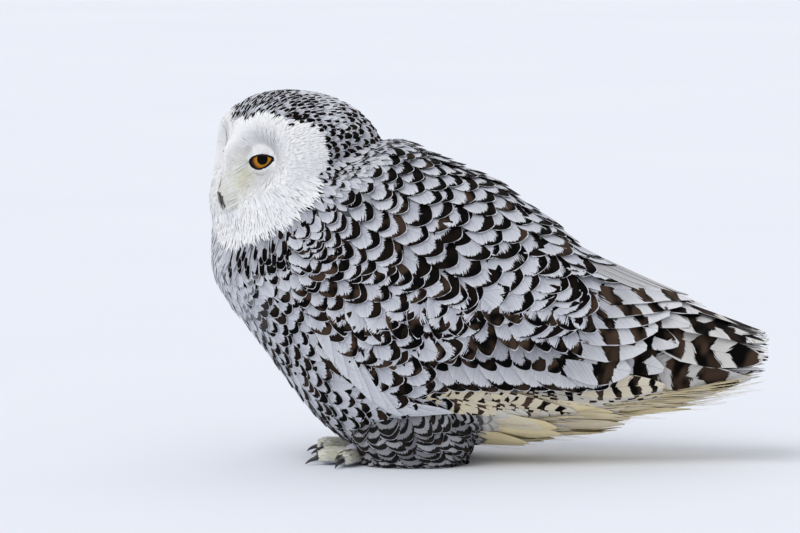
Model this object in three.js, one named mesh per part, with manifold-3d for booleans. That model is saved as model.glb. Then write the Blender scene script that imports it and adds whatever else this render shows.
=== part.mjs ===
// A life-size snowy owl standing low on flat ground, its head turned a little to its left.
// Millimetres, +Z up. The bird faces -X, its left side is -Y, and the ground is Z = 0.

import * as THREE from 'three';
import { mergeVertices } from 'three/addons/utils/BufferGeometryUtils.js';
import Module from 'manifold-3d';

const wasm = await Module();
wasm.setup();

// ---- driving dimensions ----------------------------------------------------

const GAP = 0.35;                 // clearance between two nodes that touch
const MITRE = 0.4;                // lowest corner sharpness that the clearance follows in full
const SECTION_POWER = 2.25;       // squareness of a section through the body
const AROUND = 20;                // points round a section through the body
const SEAM = 0.8;                 // degrees between the shoulder feathers and the wing
const DEGREES_PER_MM = 0.9;       // turn round the body that is at least a millimetre everywhere
const STATIONS_PER_MM = 0.035;    // the same for steps along the body line
const FAR = 150;                  // reach of a cutter past its plane

// A feather blade's outline: place along it, share of its width, share of its thickness.
const BLADE = [
  { t: 0, width: 0.55, depth: 1 },
  { t: 0.4, width: 0.92, depth: 1 },
  { t: 0.82, width: 1, depth: 0.9 },
  { t: 1, width: 0.34, depth: 0.6 },
];

// The body line runs from inside the head (station 0) to the tail tip (station 13).
// Each station: middle x and z, lean of its plane in degrees, half width,
// reach towards the back, and reach towards the belly.
const BODY_LINE = [
  [-200, 284, 66, 64, 74, 68],
  [-180, 267, 54, 82, 100, 114],
  [-150, 238, 53, 93, 116, 130],
  [-126, 215, 50, 100, 125, 135],
  [-99, 189, 45, 103, 135, 143],
  [-70, 159, 38, 104, 144, 150],
  [-43, 131, 33, 102, 150, 140],
  [-9, 126, 27, 96, 136, 124],
  [34, 119, 22, 86, 117, 110],
  [71, 113, 18, 76, 99, 95],
  [116, 107, 14, 66, 84, 78],
  [162, 105, 10, 60, 68, 61],
  [215, 102, 6, 57, 51, 45],
  [279, 104, 3, 54, 23, 23],
];
const NECK_START = 0.5;
const NECK_END = 1.0;
const WING_START = 1.5;
const STEP = 0.7;                 // the wings, shoulders and torso share these steps
const SHOULDER_END = WING_START + 10 * STEP;
const TORSO_END = WING_START + 11 * STEP;
const WING_CORE_END = WING_START + 13 * STEP;
const TAIL_CORE_END = 11.6;
const TAIL_TAPER_END = 12.5;

const HEAD = { x: -197, z: 292, front: 68, back: 97, half: 77, top: 77, chin: 95 };
const HEAD_TURN = 34;             // degrees towards the bird's left
const EYE = { forward: 49, aside: 29, up: 12, radius: 20, outward: 26 };
const EYE_OPENING = { half: 13.5, upper: 6.5, lower: 9.5 };

const FOOT = { x: -124, y: 40, toe: 9 };
const LEG = { x: -69, y: 46, top: 60, halfLength: 60, halfWidth: 40 };

const SKIN = { white: 0xdfe0e4, barred: 0xa9a6a6, eye: 0xb9721c, horn: 0x1b1a1c, cream: 0xd8d0bd };

// ---- small helpers -----------------------------------------------------------

const rad = THREE.MathUtils.degToRad;
const mix = THREE.MathUtils.lerp;
const clamp = THREE.MathUtils.clamp;
const smooth = (low, high, v) => THREE.MathUtils.smoothstep(v, low, high);
const vec = (x, y, z) => new THREE.Vector3(x, y, z);

// Reads a value along evenly spaced keys.
function along(keys, t) {
  const at = clamp(t, 0, 1) * (keys.length - 1);
  const low = Math.min(Math.floor(at), keys.length - 2);
  return mix(keys[low], keys[low + 1], at - low);
}

// A seeded draw in -1..1, so that every build gives the same feathers.
function draws(seed) {
  let state = seed;
  return () => {
    state = (state * 1664525 + 1013904223) % 4294967296;
    return (state / 4294967296) * 2 - 1;
  };
}

// Closed surface through rings of equal, even length. Each end is closed by strips between the
// first and the second half of its ring. alike() tells which quads take the other diagonal.
function loft(rings, alike = () => false) {
  const count = rings[0].length;
  const faces = [];
  const quad = (a, b, c, d, swap) => {
    if (swap) faces.push(a, b, d, b, c, d);
    else faces.push(a, b, c, a, c, d);
  };
  for (let r = 0; r < rings.length - 1; r += 1) {
    for (let k = 0; k < count; k += 1) {
      const next = (k + 1) % count;
      const a = r * count;
      quad(a + k, a + next, a + count + next, a + count + k, alike(k));
    }
  }
  const last = (rings.length - 1) * count;
  for (let k = 0; k < count / 2 - 1; k += 1) {
    const far = count - 1 - k;
    quad(k + 1, k, far, far - 1, false);
    quad(last + k, last + k + 1, last + far - 1, last + far, false);
  }
  return surface(rings.flat(), faces);
}

// Makes a geometry and turns it right side out.
function surface(points, faces) {
  const geometry = new THREE.BufferGeometry();
  const numbers = points.flatMap((p) => [p.x, p.y, p.z]);
  geometry.setAttribute('position', new THREE.Float32BufferAttribute(numbers, 3));
  geometry.setIndex(faces);
  return volume(geometry) < 0 ? turned(geometry) : geometry;
}

function volume(geometry) {
  const at = geometry.attributes.position;
  const index = geometry.index.array;
  const [a, b, c] = [vec(), vec(), vec()];
  let sum = 0;
  for (let i = 0; i < index.length; i += 3) {
    a.fromBufferAttribute(at, index[i]);
    b.fromBufferAttribute(at, index[i + 1]);
    c.fromBufferAttribute(at, index[i + 2]);
    sum += a.dot(b.cross(c));
  }
  return sum;
}

function turned(geometry) {
  const index = Array.from(geometry.index.array);
  for (let i = 0; i < index.length; i += 3) {
    [index[i], index[i + 1]] = [index[i + 1], index[i]];
  }
  geometry.setIndex(index);
  return geometry;
}

// The bird's right side is its left side mirrored in the plane Y = 0.
function mirrored(geometry) {
  const copy = geometry.clone();
  copy.applyMatrix4(new THREE.Matrix4().makeScale(1, -1, 1));
  return turned(copy);
}

function solid(geometry) {
  const bare = geometry.clone();
  bare.deleteAttribute('normal');
  bare.deleteAttribute('uv');
  const merged = mergeVertices(bare, 1e-4);
  return new wasm.Manifold(new wasm.Mesh({
    numProp: 3,
    vertProperties: new Float32Array(merged.attributes.position.array),
    triVerts: new Uint32Array(merged.index.array),
  }));
}

// Back to a geometry, keeping only the largest closed surface.
function shape(body) {
  let best = null;
  let most = -1;
  for (const piece of body.decompose()) {
    const size = piece.volume();
    if (size > most) {
      most = size;
      best = piece;
    }
  }
  const mesh = best.getMesh();
  const geometry = new THREE.BufferGeometry();
  geometry.setAttribute('position', new THREE.Float32BufferAttribute(mesh.vertProperties, 3));
  geometry.setIndex(Array.from(mesh.triVerts));
  return geometry;
}

function join(pieces) {
  let body = solid(pieces[0]);
  for (const piece of pieces.slice(1)) body = body.add(solid(piece));
  return shape(body);
}

// Cuts neighbours away. Each cutter already has its clearance.
function cut(geometry, cutters) {
  let body = solid(geometry);
  for (const cutter of cutters) body = body.subtract(solid(cutter));
  return shape(body);
}

// The same rounded shape with each face moved out by at least the clearance.
function grown(geometry) {
  const bare = geometry.clone();
  bare.deleteAttribute('normal');
  bare.deleteAttribute('uv');
  const merged = mergeVertices(bare, 1e-4);
  merged.computeVertexNormals();
  const at = merged.attributes.position;
  const normal = merged.attributes.normal;
  const index = merged.index.array;
  const least = new Array(at.count).fill(1);
  const corner = (i) => vec().fromBufferAttribute(at, index[i]);
  for (let i = 0; i < index.length; i += 3) {
    const edge = corner(i + 1).sub(corner(i));
    const face = edge.cross(corner(i + 2).sub(corner(i))).normalize();
    for (const v of [index[i], index[i + 1], index[i + 2]]) {
      least[v] = Math.min(least[v], face.dot(vec().fromBufferAttribute(normal, v)));
    }
  }
  for (let i = 0; i < at.count; i += 1) {
    const reach = GAP / Math.max(MITRE, least[i]);
    at.setXYZ(i, at.getX(i) + normal.getX(i) * reach, at.getY(i) + normal.getY(i) * reach,
      at.getZ(i) + normal.getZ(i) * reach);
  }
  merged.deleteAttribute('normal');
  return merged;
}

// ---- the body's form -----------------------------------------------------------

// A station anywhere along the body line, by a smooth curve through the listed ones.
function station(s) {
  const last = BODY_LINE.length - 1;
  const i = clamp(Math.floor(s), 0, last - 1);
  const u = s - i;
  const key = (k) => BODY_LINE[clamp(k, 0, last)];
  const [x, z, lean, half, back, belly] = key(i).map((b, c) => {
    const a = key(i - 1)[c];
    const d = key(i + 1)[c];
    const e = key(i + 2)[c];
    return b + 0.5 * u * (d - a + u * (2 * a - 5 * b + 4 * d - e + u * (3 * (b - d) + e - a)));
  });
  return { x, z, lean: rad(lean), half, back, belly };
}

// A point of the left half of the form: degrees run from 0 on the back to 180 on the belly.
function onForm(s, degrees) {
  const { x, z, lean, half, back, belly } = station(s);
  const power = 2 / SECTION_POWER;
  const c = Math.cos(rad(degrees));
  const d = Math.sin(rad(degrees));
  const up = Math.sign(c) * Math.abs(c) ** power * (c > 0 ? back : belly);
  const out = Math.sign(d) * Math.abs(d) ** power * half;
  return vec(x + up * Math.sin(lean), -out, z + up * Math.cos(lean));
}

function formNormal(s, degrees) {
  const step = 0.05;
  const alongLine = onForm(s + step, degrees).sub(onForm(s - step, degrees));
  const roundIt = onForm(s, degrees + 2).sub(onForm(s, degrees - 2));
  return roundIt.cross(alongLine).normalize();
}

function lifted(s, degrees, lift) {
  return onForm(s, degrees).addScaledVector(formNormal(s, degrees), lift);
}

// A section through the body. lift(degrees) is its height over the form.
function bodyRing(s, lift = () => 0) {
  const ring = [];
  for (let k = 0; k < AROUND; k += 1) {
    const degrees = (360 * k) / AROUND;
    ring.push(onForm(s, degrees).addScaledVector(formNormal(s, degrees), lift(degrees)));
  }
  return ring;
}

// Moves a flat end ring back by the clearance, so that two lengths of the body meet face to face.
function backedOff(ring, s, by) {
  const { lean } = station(s);
  const forward = vec(Math.cos(lean), 0, -Math.sin(lean));
  return ring.map((p) => p.clone().addScaledVector(forward, by));
}

function bodyLength(from, to, steps) {
  const rings = [];
  for (let i = 0; i <= steps; i += 1) rings.push(bodyRing(mix(from, to, i / steps)));
  return rings;
}

// A section of the torso or tail. It is sunk under the shoulder feathers and under the wing by
// their depth, with a wall at each side, and raised at each degree by lift.
function coreRing(s, { underShoulder = false, underWing = false, lift = () => 0 }) {
  const depth = wingDepth(s) + GAP;
  const wall = GAP * DEGREES_PER_MM;
  const side = [[0, 0], [SHOULDER_TOP - wall, 0]];
  const sunk = (list, under) => list.forEach((degrees) => side.push([degrees, under ? depth : 0]));
  sunk([SHOULDER_TOP - wall, ...acrossShoulder(s)], underShoulder);
  const [first, ...others] = acrossWing(s);
  sunk([first - SEAM / 2, ...others, wingLower(s) + wall], underWing);
  for (const t of [0, 0.25, 0.5, 0.75, 1]) side.push([mix(wingLower(s) + wall, 180, t), 0]);
  const half = side.map(([degrees, down]) => lifted(s, degrees, lift(degrees) - down));
  const other = half.slice(1, -1).map((p) => vec(p.x, -p.y, p.z));
  return [...half, ...other.reverse()];
}

function torsoForm() {
  const slide = GAP * STATIONS_PER_MM;
  const rings = [
    backedOff(coreRing(NECK_END, {}), NECK_END, GAP),
    coreRing(WING_START - slide, {}),
    coreRing(WING_START - slide, { underShoulder: true, underWing: true }),
  ];
  for (let s = WING_START + STEP; s < SHOULDER_END - 0.01; s += STEP) {
    rings.push(coreRing(s, { underShoulder: true, underWing: true }));
  }
  rings.push(coreRing(SHOULDER_END + slide, { underShoulder: true, underWing: true }));
  rings.push(coreRing(SHOULDER_END + slide, { underWing: true }));
  rings.push(coreRing(TORSO_END, { underWing: true }));
  rings.push(coreRing(TORSO_END + STEP, { underWing: true }));
  const rightSide = (k) => k >= rings[0].length / 2;
  return cut(loft(rings, rightSide), [pastPlane(TORSO_END, 0, FAR)]);
}

// The torso's outside raised by the clearance, for what stands under it.
function torsoClearance() {
  const rings = [];
  for (let s = WING_START; s < WING_CORE_END + 0.01; s += STEP) {
    rings.push(coreRing(s, { lift: () => GAP }));
  }
  return loft(rings);
}

// Everything on one side of the plane across the body line at a station: towards the tail,
// or with a negative reach towards the head. by moves the plane.
function pastPlane(s, by, reach) {
  const { x, z } = station(s);
  const middle = vec(x, 0, z);
  const wide = bodyRing(s).map((p) => p.clone().sub(middle).multiplyScalar(2).add(middle));
  return loft([backedOff(wide, s, by), backedOff(wide, s, by + reach)]);
}

// The lines that bound the shoulder feathers and the folded wing, in degrees round the body.
const SHOULDER_TOP = 8;
const shoulderLower = (s) => along([104, 100, 94, 88, 83, 77, 70], (s - 1.6) / 7.6);
const wingUpper = (s) => mix(shoulderLower(s), 14, smooth(SHOULDER_END, WING_CORE_END, s));
const wingLower = (s) => along([106, 118, 126, 128, 127, 127, 129, 131, 132, 132], (s - 1.5) / 9);
const wingDepth = (s) => mix(12, 6, smooth(6.5, 10, s));

// Evenly spaced degrees across the shoulder feathers or the wing, with a seam between them.
const ACROSS = 4;
const acrossShoulder = (s) => evenly(SHOULDER_TOP, wingUpper(s));
const acrossWing = (s) => evenly(wingUpper(s) + SEAM, wingLower(s));

function evenly(low, high) {
  return Array.from({ length: ACROSS + 1 }, (_, k) => mix(low, high, k / ACROSS));
}

// A thick patch of the left side. A margin makes it larger all round, as the clearance that
// its neighbours keep.
function patch({ across, to, proud }, margin) {
  const turn = margin * DEGREES_PER_MM;
  const slide = margin * STATIONS_PER_MM;
  const steps = Math.round((to - WING_START) / STEP);
  const rings = [];
  for (let i = 0; i <= steps; i += 1) {
    const s = mix(WING_START - slide, to + slide, i / steps);
    const outer = [];
    const inner = [];
    across(s).forEach((degrees, k) => {
      const t = k / ACROSS;
      const at = degrees + turn * (2 * t - 1);
      const crown = Math.min(1, 4 * t, 4 * (1 - t), 3 * (i / steps), 3 * (1 - i / steps));
      outer.push(lifted(s, at, proud(s) * crown + margin));
      inner.push(lifted(s, at, -wingDepth(s) - margin));
    });
    rings.push([...outer, ...inner.reverse()]);
  }
  return loft(rings, (k) => k > ACROSS);
}

// One feather blade lying on the left side, from its sunk root to its tip. It follows the
// form's own curve. from and to are a station and degrees round the body, lift is the height
// over the form at the root, middle and tip, and tilt raises the blade's lower edge.
function vane({ from, to, lift, width, thick, tilt }, margin) {
  const slide = margin * STATIONS_PER_MM;
  const rings = BLADE.map((key, i) => {
    const end = { 0: -slide, [BLADE.length - 1]: slide }[i] ?? 0;
    const s = mix(from[0], to[0], key.t) + end;
    const degrees = mix(from[1], to[1], key.t);
    const perDegree = onForm(s, degrees + 2).distanceTo(onForm(s, degrees - 2)) / 4;
    const half = (width / 2) * key.width;
    const place = (side, up) => {
      const turn = (side * (half + margin)) / perDegree;
      const rise = side * half * Math.tan(rad(tilt));
      return lifted(s, degrees + turn, along(lift, key.t) + rise + up);
    };
    const middle = (thick / 2) * key.depth + margin;
    const edge = Math.max(0.27, middle * 0.6);
    return [place(-1, edge), place(0, middle), place(1, edge),
      place(1, -edge), place(0, -middle), place(-1, -edge)];
  });
  return loft(rings, (k) => k === 3 || k === 4);
}

// A row of like blades: make() gives the size and place of number i, and the draws vary them.
function vaneRow(count, seed, make) {
  const draw = draws(seed);
  const row = [];
  for (let i = 0; i < count; i += 1) {
    const blade = make(i);
    blade.to = [blade.to[0] + 0.06 * draw(), blade.to[1] + 0.8 * draw()];
    blade.width *= 1 + 0.05 * draw();
    blade.tilt += draw();
    row.push(blade);
  }
  return row;
}

// ---- head ---------------------------------------------------------------------------

// Head directions: forward to the face, aside to the bird's left, up.
function fromHead(forward, aside, up) {
  const c = Math.cos(rad(HEAD_TURN));
  const s = Math.sin(rad(HEAD_TURN));
  return vec(HEAD.x - forward * c + aside * s, -forward * s - aside * c, HEAD.z + up);
}

// The head's feathered form: two shallow dishes round the eyes, a soft ridge down to the bill.
function headRadius(forward, aside, up) {
  const round = 2.8;
  const tall = mix(2.15, 3, smooth(0, 0.6, -up));
  const a = Math.abs(forward) / (forward > 0 ? HEAD.front : HEAD.back);
  const b = Math.abs(aside) / HEAD.half;
  const c = Math.abs(up) / (up > 0 ? HEAD.top : HEAD.chin);
  const plain = ((a ** round + b ** round) ** (tall / round) + c ** tall) ** (-1 / tall);
  if (forward <= 0) return plain;
  const [l, h] = [Math.abs(aside) * plain, up * plain];
  const fromEye = Math.hypot(l - 33, h - 8) / 34;
  const dish = -9 * Math.max(0, 1 - fromEye ** 2) ** 1.5;
  const ridge = 6 * Math.exp(-((l / 10) ** 2)) * smooth(-48, -30, h) * (1 - smooth(6, 36, h));
  const brow = 4 * Math.exp(-(((l - 24) / 15) ** 2) - ((h - 25) / 6) ** 2);
  return plain + (dish + ridge + brow) * smooth(0, 0.35, forward);
}

function headForm() {
  const rows = 20;
  const columns = 32;
  const rings = [];
  for (let r = 1; r < rows; r += 1) {
    const lift = rad(mix(-90, 90, r / rows));
    const ring = [];
    for (let k = 0; k < columns; k += 1) {
      const turn = rad((360 * k) / columns);
      const direction = [
        Math.cos(lift) * Math.cos(turn), Math.cos(lift) * Math.sin(turn), Math.sin(lift)];
      const radius = headRadius(...direction);
      ring.push(fromHead(...direction.map((d) => d * radius)));
    }
    rings.push(ring);
  }
  return loft(rings);
}

// The eye's own directions: ahead along its axis, aside away from the bill, up.
function fromEye(side, ahead, aside, up) {
  const c = Math.cos(rad(EYE.outward));
  const s = Math.sin(rad(EYE.outward));
  const middle = [EYE.forward - EYE.radius * c, EYE.aside - EYE.radius * s];
  const forward = middle[0] + ahead * c - aside * s;
  const outward = middle[1] + ahead * s + aside * c;
  return fromHead(forward, -side * outward, EYE.up + up);
}

// The front of the eyeball, a deep cap with a flat back. The margin is its clearance.
function eyeBall(side, margin) {
  const radius = EYE.radius + margin;
  const rings = [76, 56, 38, 20, 6].map((degrees, i) => {
    const rim = i === 0 ? margin : 0;
    const reach = radius * Math.sin(rad(degrees)) + rim;
    const ahead = radius * Math.cos(rad(degrees)) - 2 * rim;
    const ring = [];
    for (let k = 0; k < 20; k += 1) {
      const turn = (2 * Math.PI * k) / 20;
      ring.push(fromEye(side, ahead, Math.cos(turn) * reach, Math.sin(turn) * reach));
    }
    return ring;
  });
  return loft(rings);
}

// The opening between the lids: nearly straight above, round below.
function openingPoint(turn, grow) {
  const up = Math.sin(turn);
  const reach = up > 0 ? EYE_OPENING.upper : EYE_OPENING.lower;
  const aside = Math.sign(Math.cos(turn)) * Math.abs(Math.cos(turn)) ** 0.85;
  return [aside * (EYE_OPENING.half + grow), up * (reach + grow)];
}

function eyeFunnel(side) {
  const rings = [[4, -2], [12.5, -1], [17.5, 0.5], [23, 5], [34, 13]].map(([ahead, grow]) => {
    const ring = [];
    for (let k = 0; k < 16; k += 1) {
      const [aside, up] = openingPoint((2 * Math.PI * k) / 16, grow);
      ring.push(fromEye(side, ahead, aside, up));
    }
    return ring;
  });
  return loft(rings);
}

function lidRing(side) {
  const steps = 16;
  const sides = 5;
  const points = [];
  const faces = [];
  for (let k = 0; k < steps; k += 1) {
    const turn = (2 * Math.PI * k) / steps;
    const thick = mix(1.5, 2.4, smooth(0, 0.8, Math.sin(turn)));
    for (let j = 0; j < sides; j += 1) {
      const roll = (2 * Math.PI * j) / sides;
      const [aside, up] = openingPoint(turn, 0.6 + thick * Math.cos(roll));
      const rim = EYE.radius + GAP + 1.2;
      const base = Math.sqrt(Math.max(1, rim ** 2 - aside ** 2 - up ** 2));
      points.push(fromEye(side, base + thick * Math.sin(roll), aside, up));
      const a = k * sides + j;
      const b = k * sides + ((j + 1) % sides);
      const c = ((k + 1) % steps) * sides + ((j + 1) % sides);
      const d = ((k + 1) % steps) * sides + j;
      faces.push(a, b, c, a, c, d);
    }
  }
  return surface(points, faces);
}

// ---- bill ---------------------------------------------------------------------------

// A curved horn with an oval section: each key gives forward, up, half width and half depth.
function horn(keys, steps, place) {
  const rings = [];
  for (let i = 0; i <= steps; i += 1) {
    const t = i / steps;
    const read = (c, u) => along(keys.map((key) => key[c]), clamp(u, 0, 1));
    const [forward, up, half, depth] = [0, 1, 2, 3].map((c) => read(c, t));
    const ahead = vec(read(0, t + 0.1) - read(0, t - 0.1), 0, read(1, t + 0.1) - read(1, t - 0.1));
    ahead.normalize();
    const ring = [];
    for (let k = 0; k < 10; k += 1) {
      const turn = (2 * Math.PI * k) / 10;
      const reach = Math.sin(turn) * depth;
      ring.push(place(forward - ahead.z * reach, Math.cos(turn) * half, up + ahead.x * reach));
    }
    rings.push(ring);
  }
  return loft(rings);
}

function billUpper() {
  const keys = [[58, 4, 8, 9], [68, -3, 8, 9], [73, -14, 7, 7.5], [72.5, -26, 5.5, 5.5],
    [70.5, -35, 3, 3], [69, -41, 0.7, 0.7]];
  const body = horn(keys, 8, fromHead);
  const nostrils = [-1, 1].map((side) => {
    const pit = new THREE.SphereGeometry(1.8, 8, 6);
    const at = fromHead(74, side * 7.2, -8);
    return pit.translate(at.x, at.y, at.z);
  });
  return cut(body, nostrils);
}

function billLower() {
  const keys = [[52, -26, 6.5, 4], [60, -30, 6, 4], [65, -34, 4, 2.8], [67, -37.5, 1.4, 1]];
  return horn(keys, 6, fromHead);
}

// The line of the mouth runs back from the bill under the bristles on each side.
function mouthLine(side) {
  const rings = [[70, 3, -31], [66, 9, -29], [62, 16, -27], [57, 22, -27]].map(([f, l, h]) => {
    const ring = [];
    for (const [df, dh] of [[4, 0.7], [-3, 0.7], [-3, -0.7], [4, -0.7]]) {
      ring.push(fromHead(f + df, side * l, h + dh));
    }
    return ring;
  });
  return loft(rings);
}

// ---- legs and feet --------------------------------------------------------------------

// The feathered thigh and shank, a soft column that spreads on the ground.
function trousers() {
  const rings = [];
  for (const [z, size, shift] of [[0, 0.64, 2], [7, 0.82, 1], [28, 1, 0], [LEG.top, 0.95, 4]]) {
    const ring = [];
    for (let k = 0; k < 16; k += 1) {
      const turn = (2 * Math.PI * k) / 16;
      const x = LEG.x + shift + Math.cos(turn) * LEG.halfLength * size;
      const y = LEG.y + Math.sin(turn) * LEG.halfWidth * size;
      ring.push(vec(x, -y, z));
    }
    rings.push(ring);
  }
  return loft(rings);
}

// Toes: bearing in degrees from straight ahead towards the outer side, and length.
const TOES = [[-16, 36], [12, 40], [62, 36], [172, 20]];

function toeLine(bearing, reach) {
  const x = FOOT.x - Math.cos(rad(bearing)) * reach;
  const y = FOOT.y + Math.sin(rad(bearing)) * reach;
  return [x, y];
}

function toe([bearing, length]) {
  const rings = [];
  for (const [t, size, z] of [[0, 1, 7.8], [0.7, 1, 7.6], [0.92, 0.8, 6.6], [1, 0.45, 6]]) {
    const [x, y] = toeLine(bearing, t * length);
    const ring = [];
    for (let k = 0; k < 8; k += 1) {
      const turn = (2 * Math.PI * (k + 0.5)) / 8;
      const out = Math.cos(turn) * FOOT.toe * size;
      const high = z + Math.sin(turn) * FOOT.toe * size;
      const [dx, dy] = [Math.sin(rad(bearing)) * out, Math.cos(rad(bearing)) * out];
      ring.push(vec(x + dx, -(y + dy), Math.max(0, high)));
    }
    rings.push(ring);
  }
  return loft(rings);
}

function instep() {
  const rings = [];
  for (const [t, size, z] of [[0, 0.75, 10.5], [0.5, 1, 15], [1, 1.1, 24]]) {
    const x = FOOT.x - 10 + t * 34;
    const ring = [];
    for (let k = 0; k < 10; k += 1) {
      const turn = (2 * Math.PI * (k + 0.5)) / 10;
      const y = FOOT.y + Math.cos(turn) * 15 * size;
      ring.push(vec(x, -y, Math.max(0, z + Math.sin(turn) * 15 * size)));
    }
    rings.push(ring);
  }
  return loft(rings);
}

function claw([bearing, length]) {
  const rings = [];
  for (const [t, size, z] of [[-4, 2.9, 7.2], [3, 2.7, 6.8], [9, 2, 5.2], [13, 1.1, 2.9],
    [15, 0.35, 0.9]]) {
    const [x, y] = toeLine(bearing, length + t);
    const ring = [];
    for (let k = 0; k < 6; k += 1) {
      const turn = (2 * Math.PI * k) / 6;
      const out = Math.cos(turn) * size;
      const [dx, dy] = [Math.sin(rad(bearing)) * out, Math.cos(rad(bearing)) * out];
      ring.push(vec(x + dx, -(y + dy), z + Math.sin(turn) * size));
    }
    rings.push(ring);
  }
  return loft(rings);
}

// ---- scapulars, wings and tail ------------------------------------------------------------

// The shoulder feathers lie in rows over the back and the top of the folded wing.
function scapularPieces(seed, margin) {
  const core = { across: acrossShoulder, to: SHOULDER_END, proud: () => 1.5 };
  const rows = [0.92, 0.68, 0.44, 0.2].map((share, r) => vaneRow(4, seed + r, (i) => {
    const s = 2.3 + 0.2 * r + 1.5 * i;
    return {
      from: [s, mix(SHOULDER_TOP, shoulderLower(s), share) - 5],
      to: [s + 1.9, mix(SHOULDER_TOP, shoulderLower(s + 1.9), share) + 3],
      lift: [-4, 3.4, 5.2],
      width: 38,
      thick: 1.2,
      tilt: 2.5,
    };
  }));
  return [patch(core, margin), ...rows.flat().map((blade) => vane(blade, margin))];
}

// The folded wing: a smooth forepart, then coverts over secondaries over primaries, and the
// long innermost feathers that close over the rump.
function wingPieces(seed, margin) {
  const core = {
    across: acrossWing,
    to: WING_CORE_END,
    proud: (s) => mix(4, -2.5, smooth(3.6, 5.6, s)),
  };
  const greaterCoverts = vaneRow(6, seed, (i) => ({
    from: [4.9 + 0.66 * i, 110 - 5.4 * i],
    to: [6.6 + 0.62 * i, 117 - 5.2 * i],
    lift: [-4, 4.6, 6],
    width: 24,
    thick: 1,
    tilt: 9,
  }));
  const secondaries = vaneRow(5, seed + 1, (i) => ({
    from: [6.4 + 0.62 * i, 117 - 6 * i],
    to: [8.3 + 0.56 * i, 125 - 5.4 * i],
    lift: [-6, 0.6, 1.6],
    width: 26,
    thick: 1,
    tilt: 9,
  }));
  const primaries = vaneRow(4, seed + 2, (i) => ({
    from: [8.2 + 0.3 * i, 121 - 5 * i],
    to: [11.6 - 0.3 * Math.abs(i - 1), 134 - 8 * i],
    lift: [-6, -1.6 + 1.5 * i, -0.6 + 1.5 * i],
    width: 20,
    thick: 1,
    tilt: 3,
  }));
  const primaryCoverts = vaneRow(2, seed + 3, (i) => ({
    from: [5.5 + 0.8 * i, 117],
    to: [7.3 + 0.9 * i, 122 + 1.4 * i],
    lift: [-5, 1.6, 1.6],
    width: 16,
    thick: 1,
    tilt: 4,
  }));
  const tertials = vaneRow(3, seed + 4, (i) => ({
    from: [8.9 + 0.1 * i, 78 + 8 * i],
    to: [11.7 - 0.25 * i, 24 + 22 * i],
    lift: [-5, 4.6, 5.6],
    width: 28,
    thick: 1.2,
    tilt: 6,
  }));
  const blades = [...greaterCoverts, ...secondaries, ...primaries, ...primaryCoverts, ...tertials];
  return [patch(core, margin), ...blades.map((blade) => vane(blade, margin))];
}

// The tail: a feathered core that tapers off, six blades a side roofed over one another, and
// the soft feathers that fill the roof from below.
function tailPieces(seed) {
  const core = [[SHOULDER_END, 0, 0], [TORSO_END, -2, -2], [TORSO_END + STEP, -6, -2],
    [WING_CORE_END, -10, -3], [TAIL_CORE_END, -15, -5], [TAIL_TAPER_END, -28, -20]];
  const rings = core.map(([s, top, under]) => coreRing(s, {
    underWing: true,
    lift: (degrees) => mix(top, under, smooth(90, 150, degrees)),
  }));
  const rectrices = vaneRow(6, seed, (i) => ({
    from: [9.9, 14 + 15 * i],
    to: [13 - 0.05 * i * i, 10 + 21 * i],
    lift: [-15, -9.6, -1.4],
    width: 28,
    thick: 1,
    tilt: 7,
  }));
  const underTail = vaneRow(2, seed + 1, (i) => ({
    from: [9.9, 168 - 24 * i],
    to: [12.2 - 0.4 * i, 165 - 26 * i],
    lift: [-8, -1.5, -4],
    width: 34,
    thick: 1.2,
    tilt: -3,
  }));
  const blades = [...rectrices, ...underTail].map((blade) => vane(blade, 0));
  return [loft(rings), ...blades, ...blades.map(mirrored)];
}

// ---- assembly ------------------------------------------------------------------------------

const owl = new THREE.Group();

function add(name, geometry, color, roughness = 0.9) {
  const material = new THREE.MeshStandardMaterial({ color, roughness, metalness: 0 });
  const mesh = new THREE.Mesh(geometry, material);
  mesh.name = name;
  owl.add(mesh);
}

function addPair(name, geometry, color, roughness) {
  add(`${name}_left`, geometry, color, roughness);
  add(`${name}_right`, mirrored(geometry), color, roughness);
}

const eyes = [-1, 1].map((side) => eyeBall(side, 0));
const eyeClear = [-1, 1].map((side) => eyeBall(side, GAP));
const upperBill = billUpper();
const lowerBill = cut(billLower(), [grown(upperBill)]);
const faceCuts = [...[-1, 1].map(eyeFunnel), ...[-1, 1].map(mouthLine)];
const openFace = join([cut(headForm(), faceCuts), ...[-1, 1].map(lidRing)]);
const head = cut(openFace, [
  pastPlane(NECK_START, 0, FAR), ...eyeClear, ...[upperBill, lowerBill].map(grown)]);

const neckRings = bodyLength(NECK_START, NECK_END, 3);
neckRings[0] = backedOff(neckRings[0], NECK_START, GAP);
const neck = loft(neckRings);

// The right side takes other draws than the left.
const SEEDS = { left: 11, right: 57 };
const scapulars = {};
const wings = {};
const covers = [];
for (const [side, seed] of Object.entries(SEEDS)) {
  const turnedTo = side === 'left' ? (g) => g : mirrored;
  const overWing = scapularPieces(seed, GAP).map(turnedTo);
  const wingClear = wingPieces(seed + 7, GAP).map(turnedTo);
  scapulars[side] = join(scapularPieces(seed, 0).map(turnedTo));
  wings[side] = cut(join(wingPieces(seed + 7, 0).map(turnedTo)), overWing);
  covers.push(...overWing, ...wingClear);
}

const torso = torsoForm();
const tail = cut(join(tailPieces(91)), [pastPlane(TORSO_END, GAP, -FAR), ...covers]);

const clearOfBody = torsoClearance();
const claws = TOES.map(claw);
const footParts = [instep(), ...TOES.map(toe)];
const foot = cut(join(footParts), [...claws.map(grown), clearOfBody]);
const leg = cut(trousers(), [clearOfBody, ...wingPieces(SEEDS.left + 7, GAP),
  ...wingPieces(SEEDS.right + 7, GAP), ...[...footParts, ...claws].map(grown)]);

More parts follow.
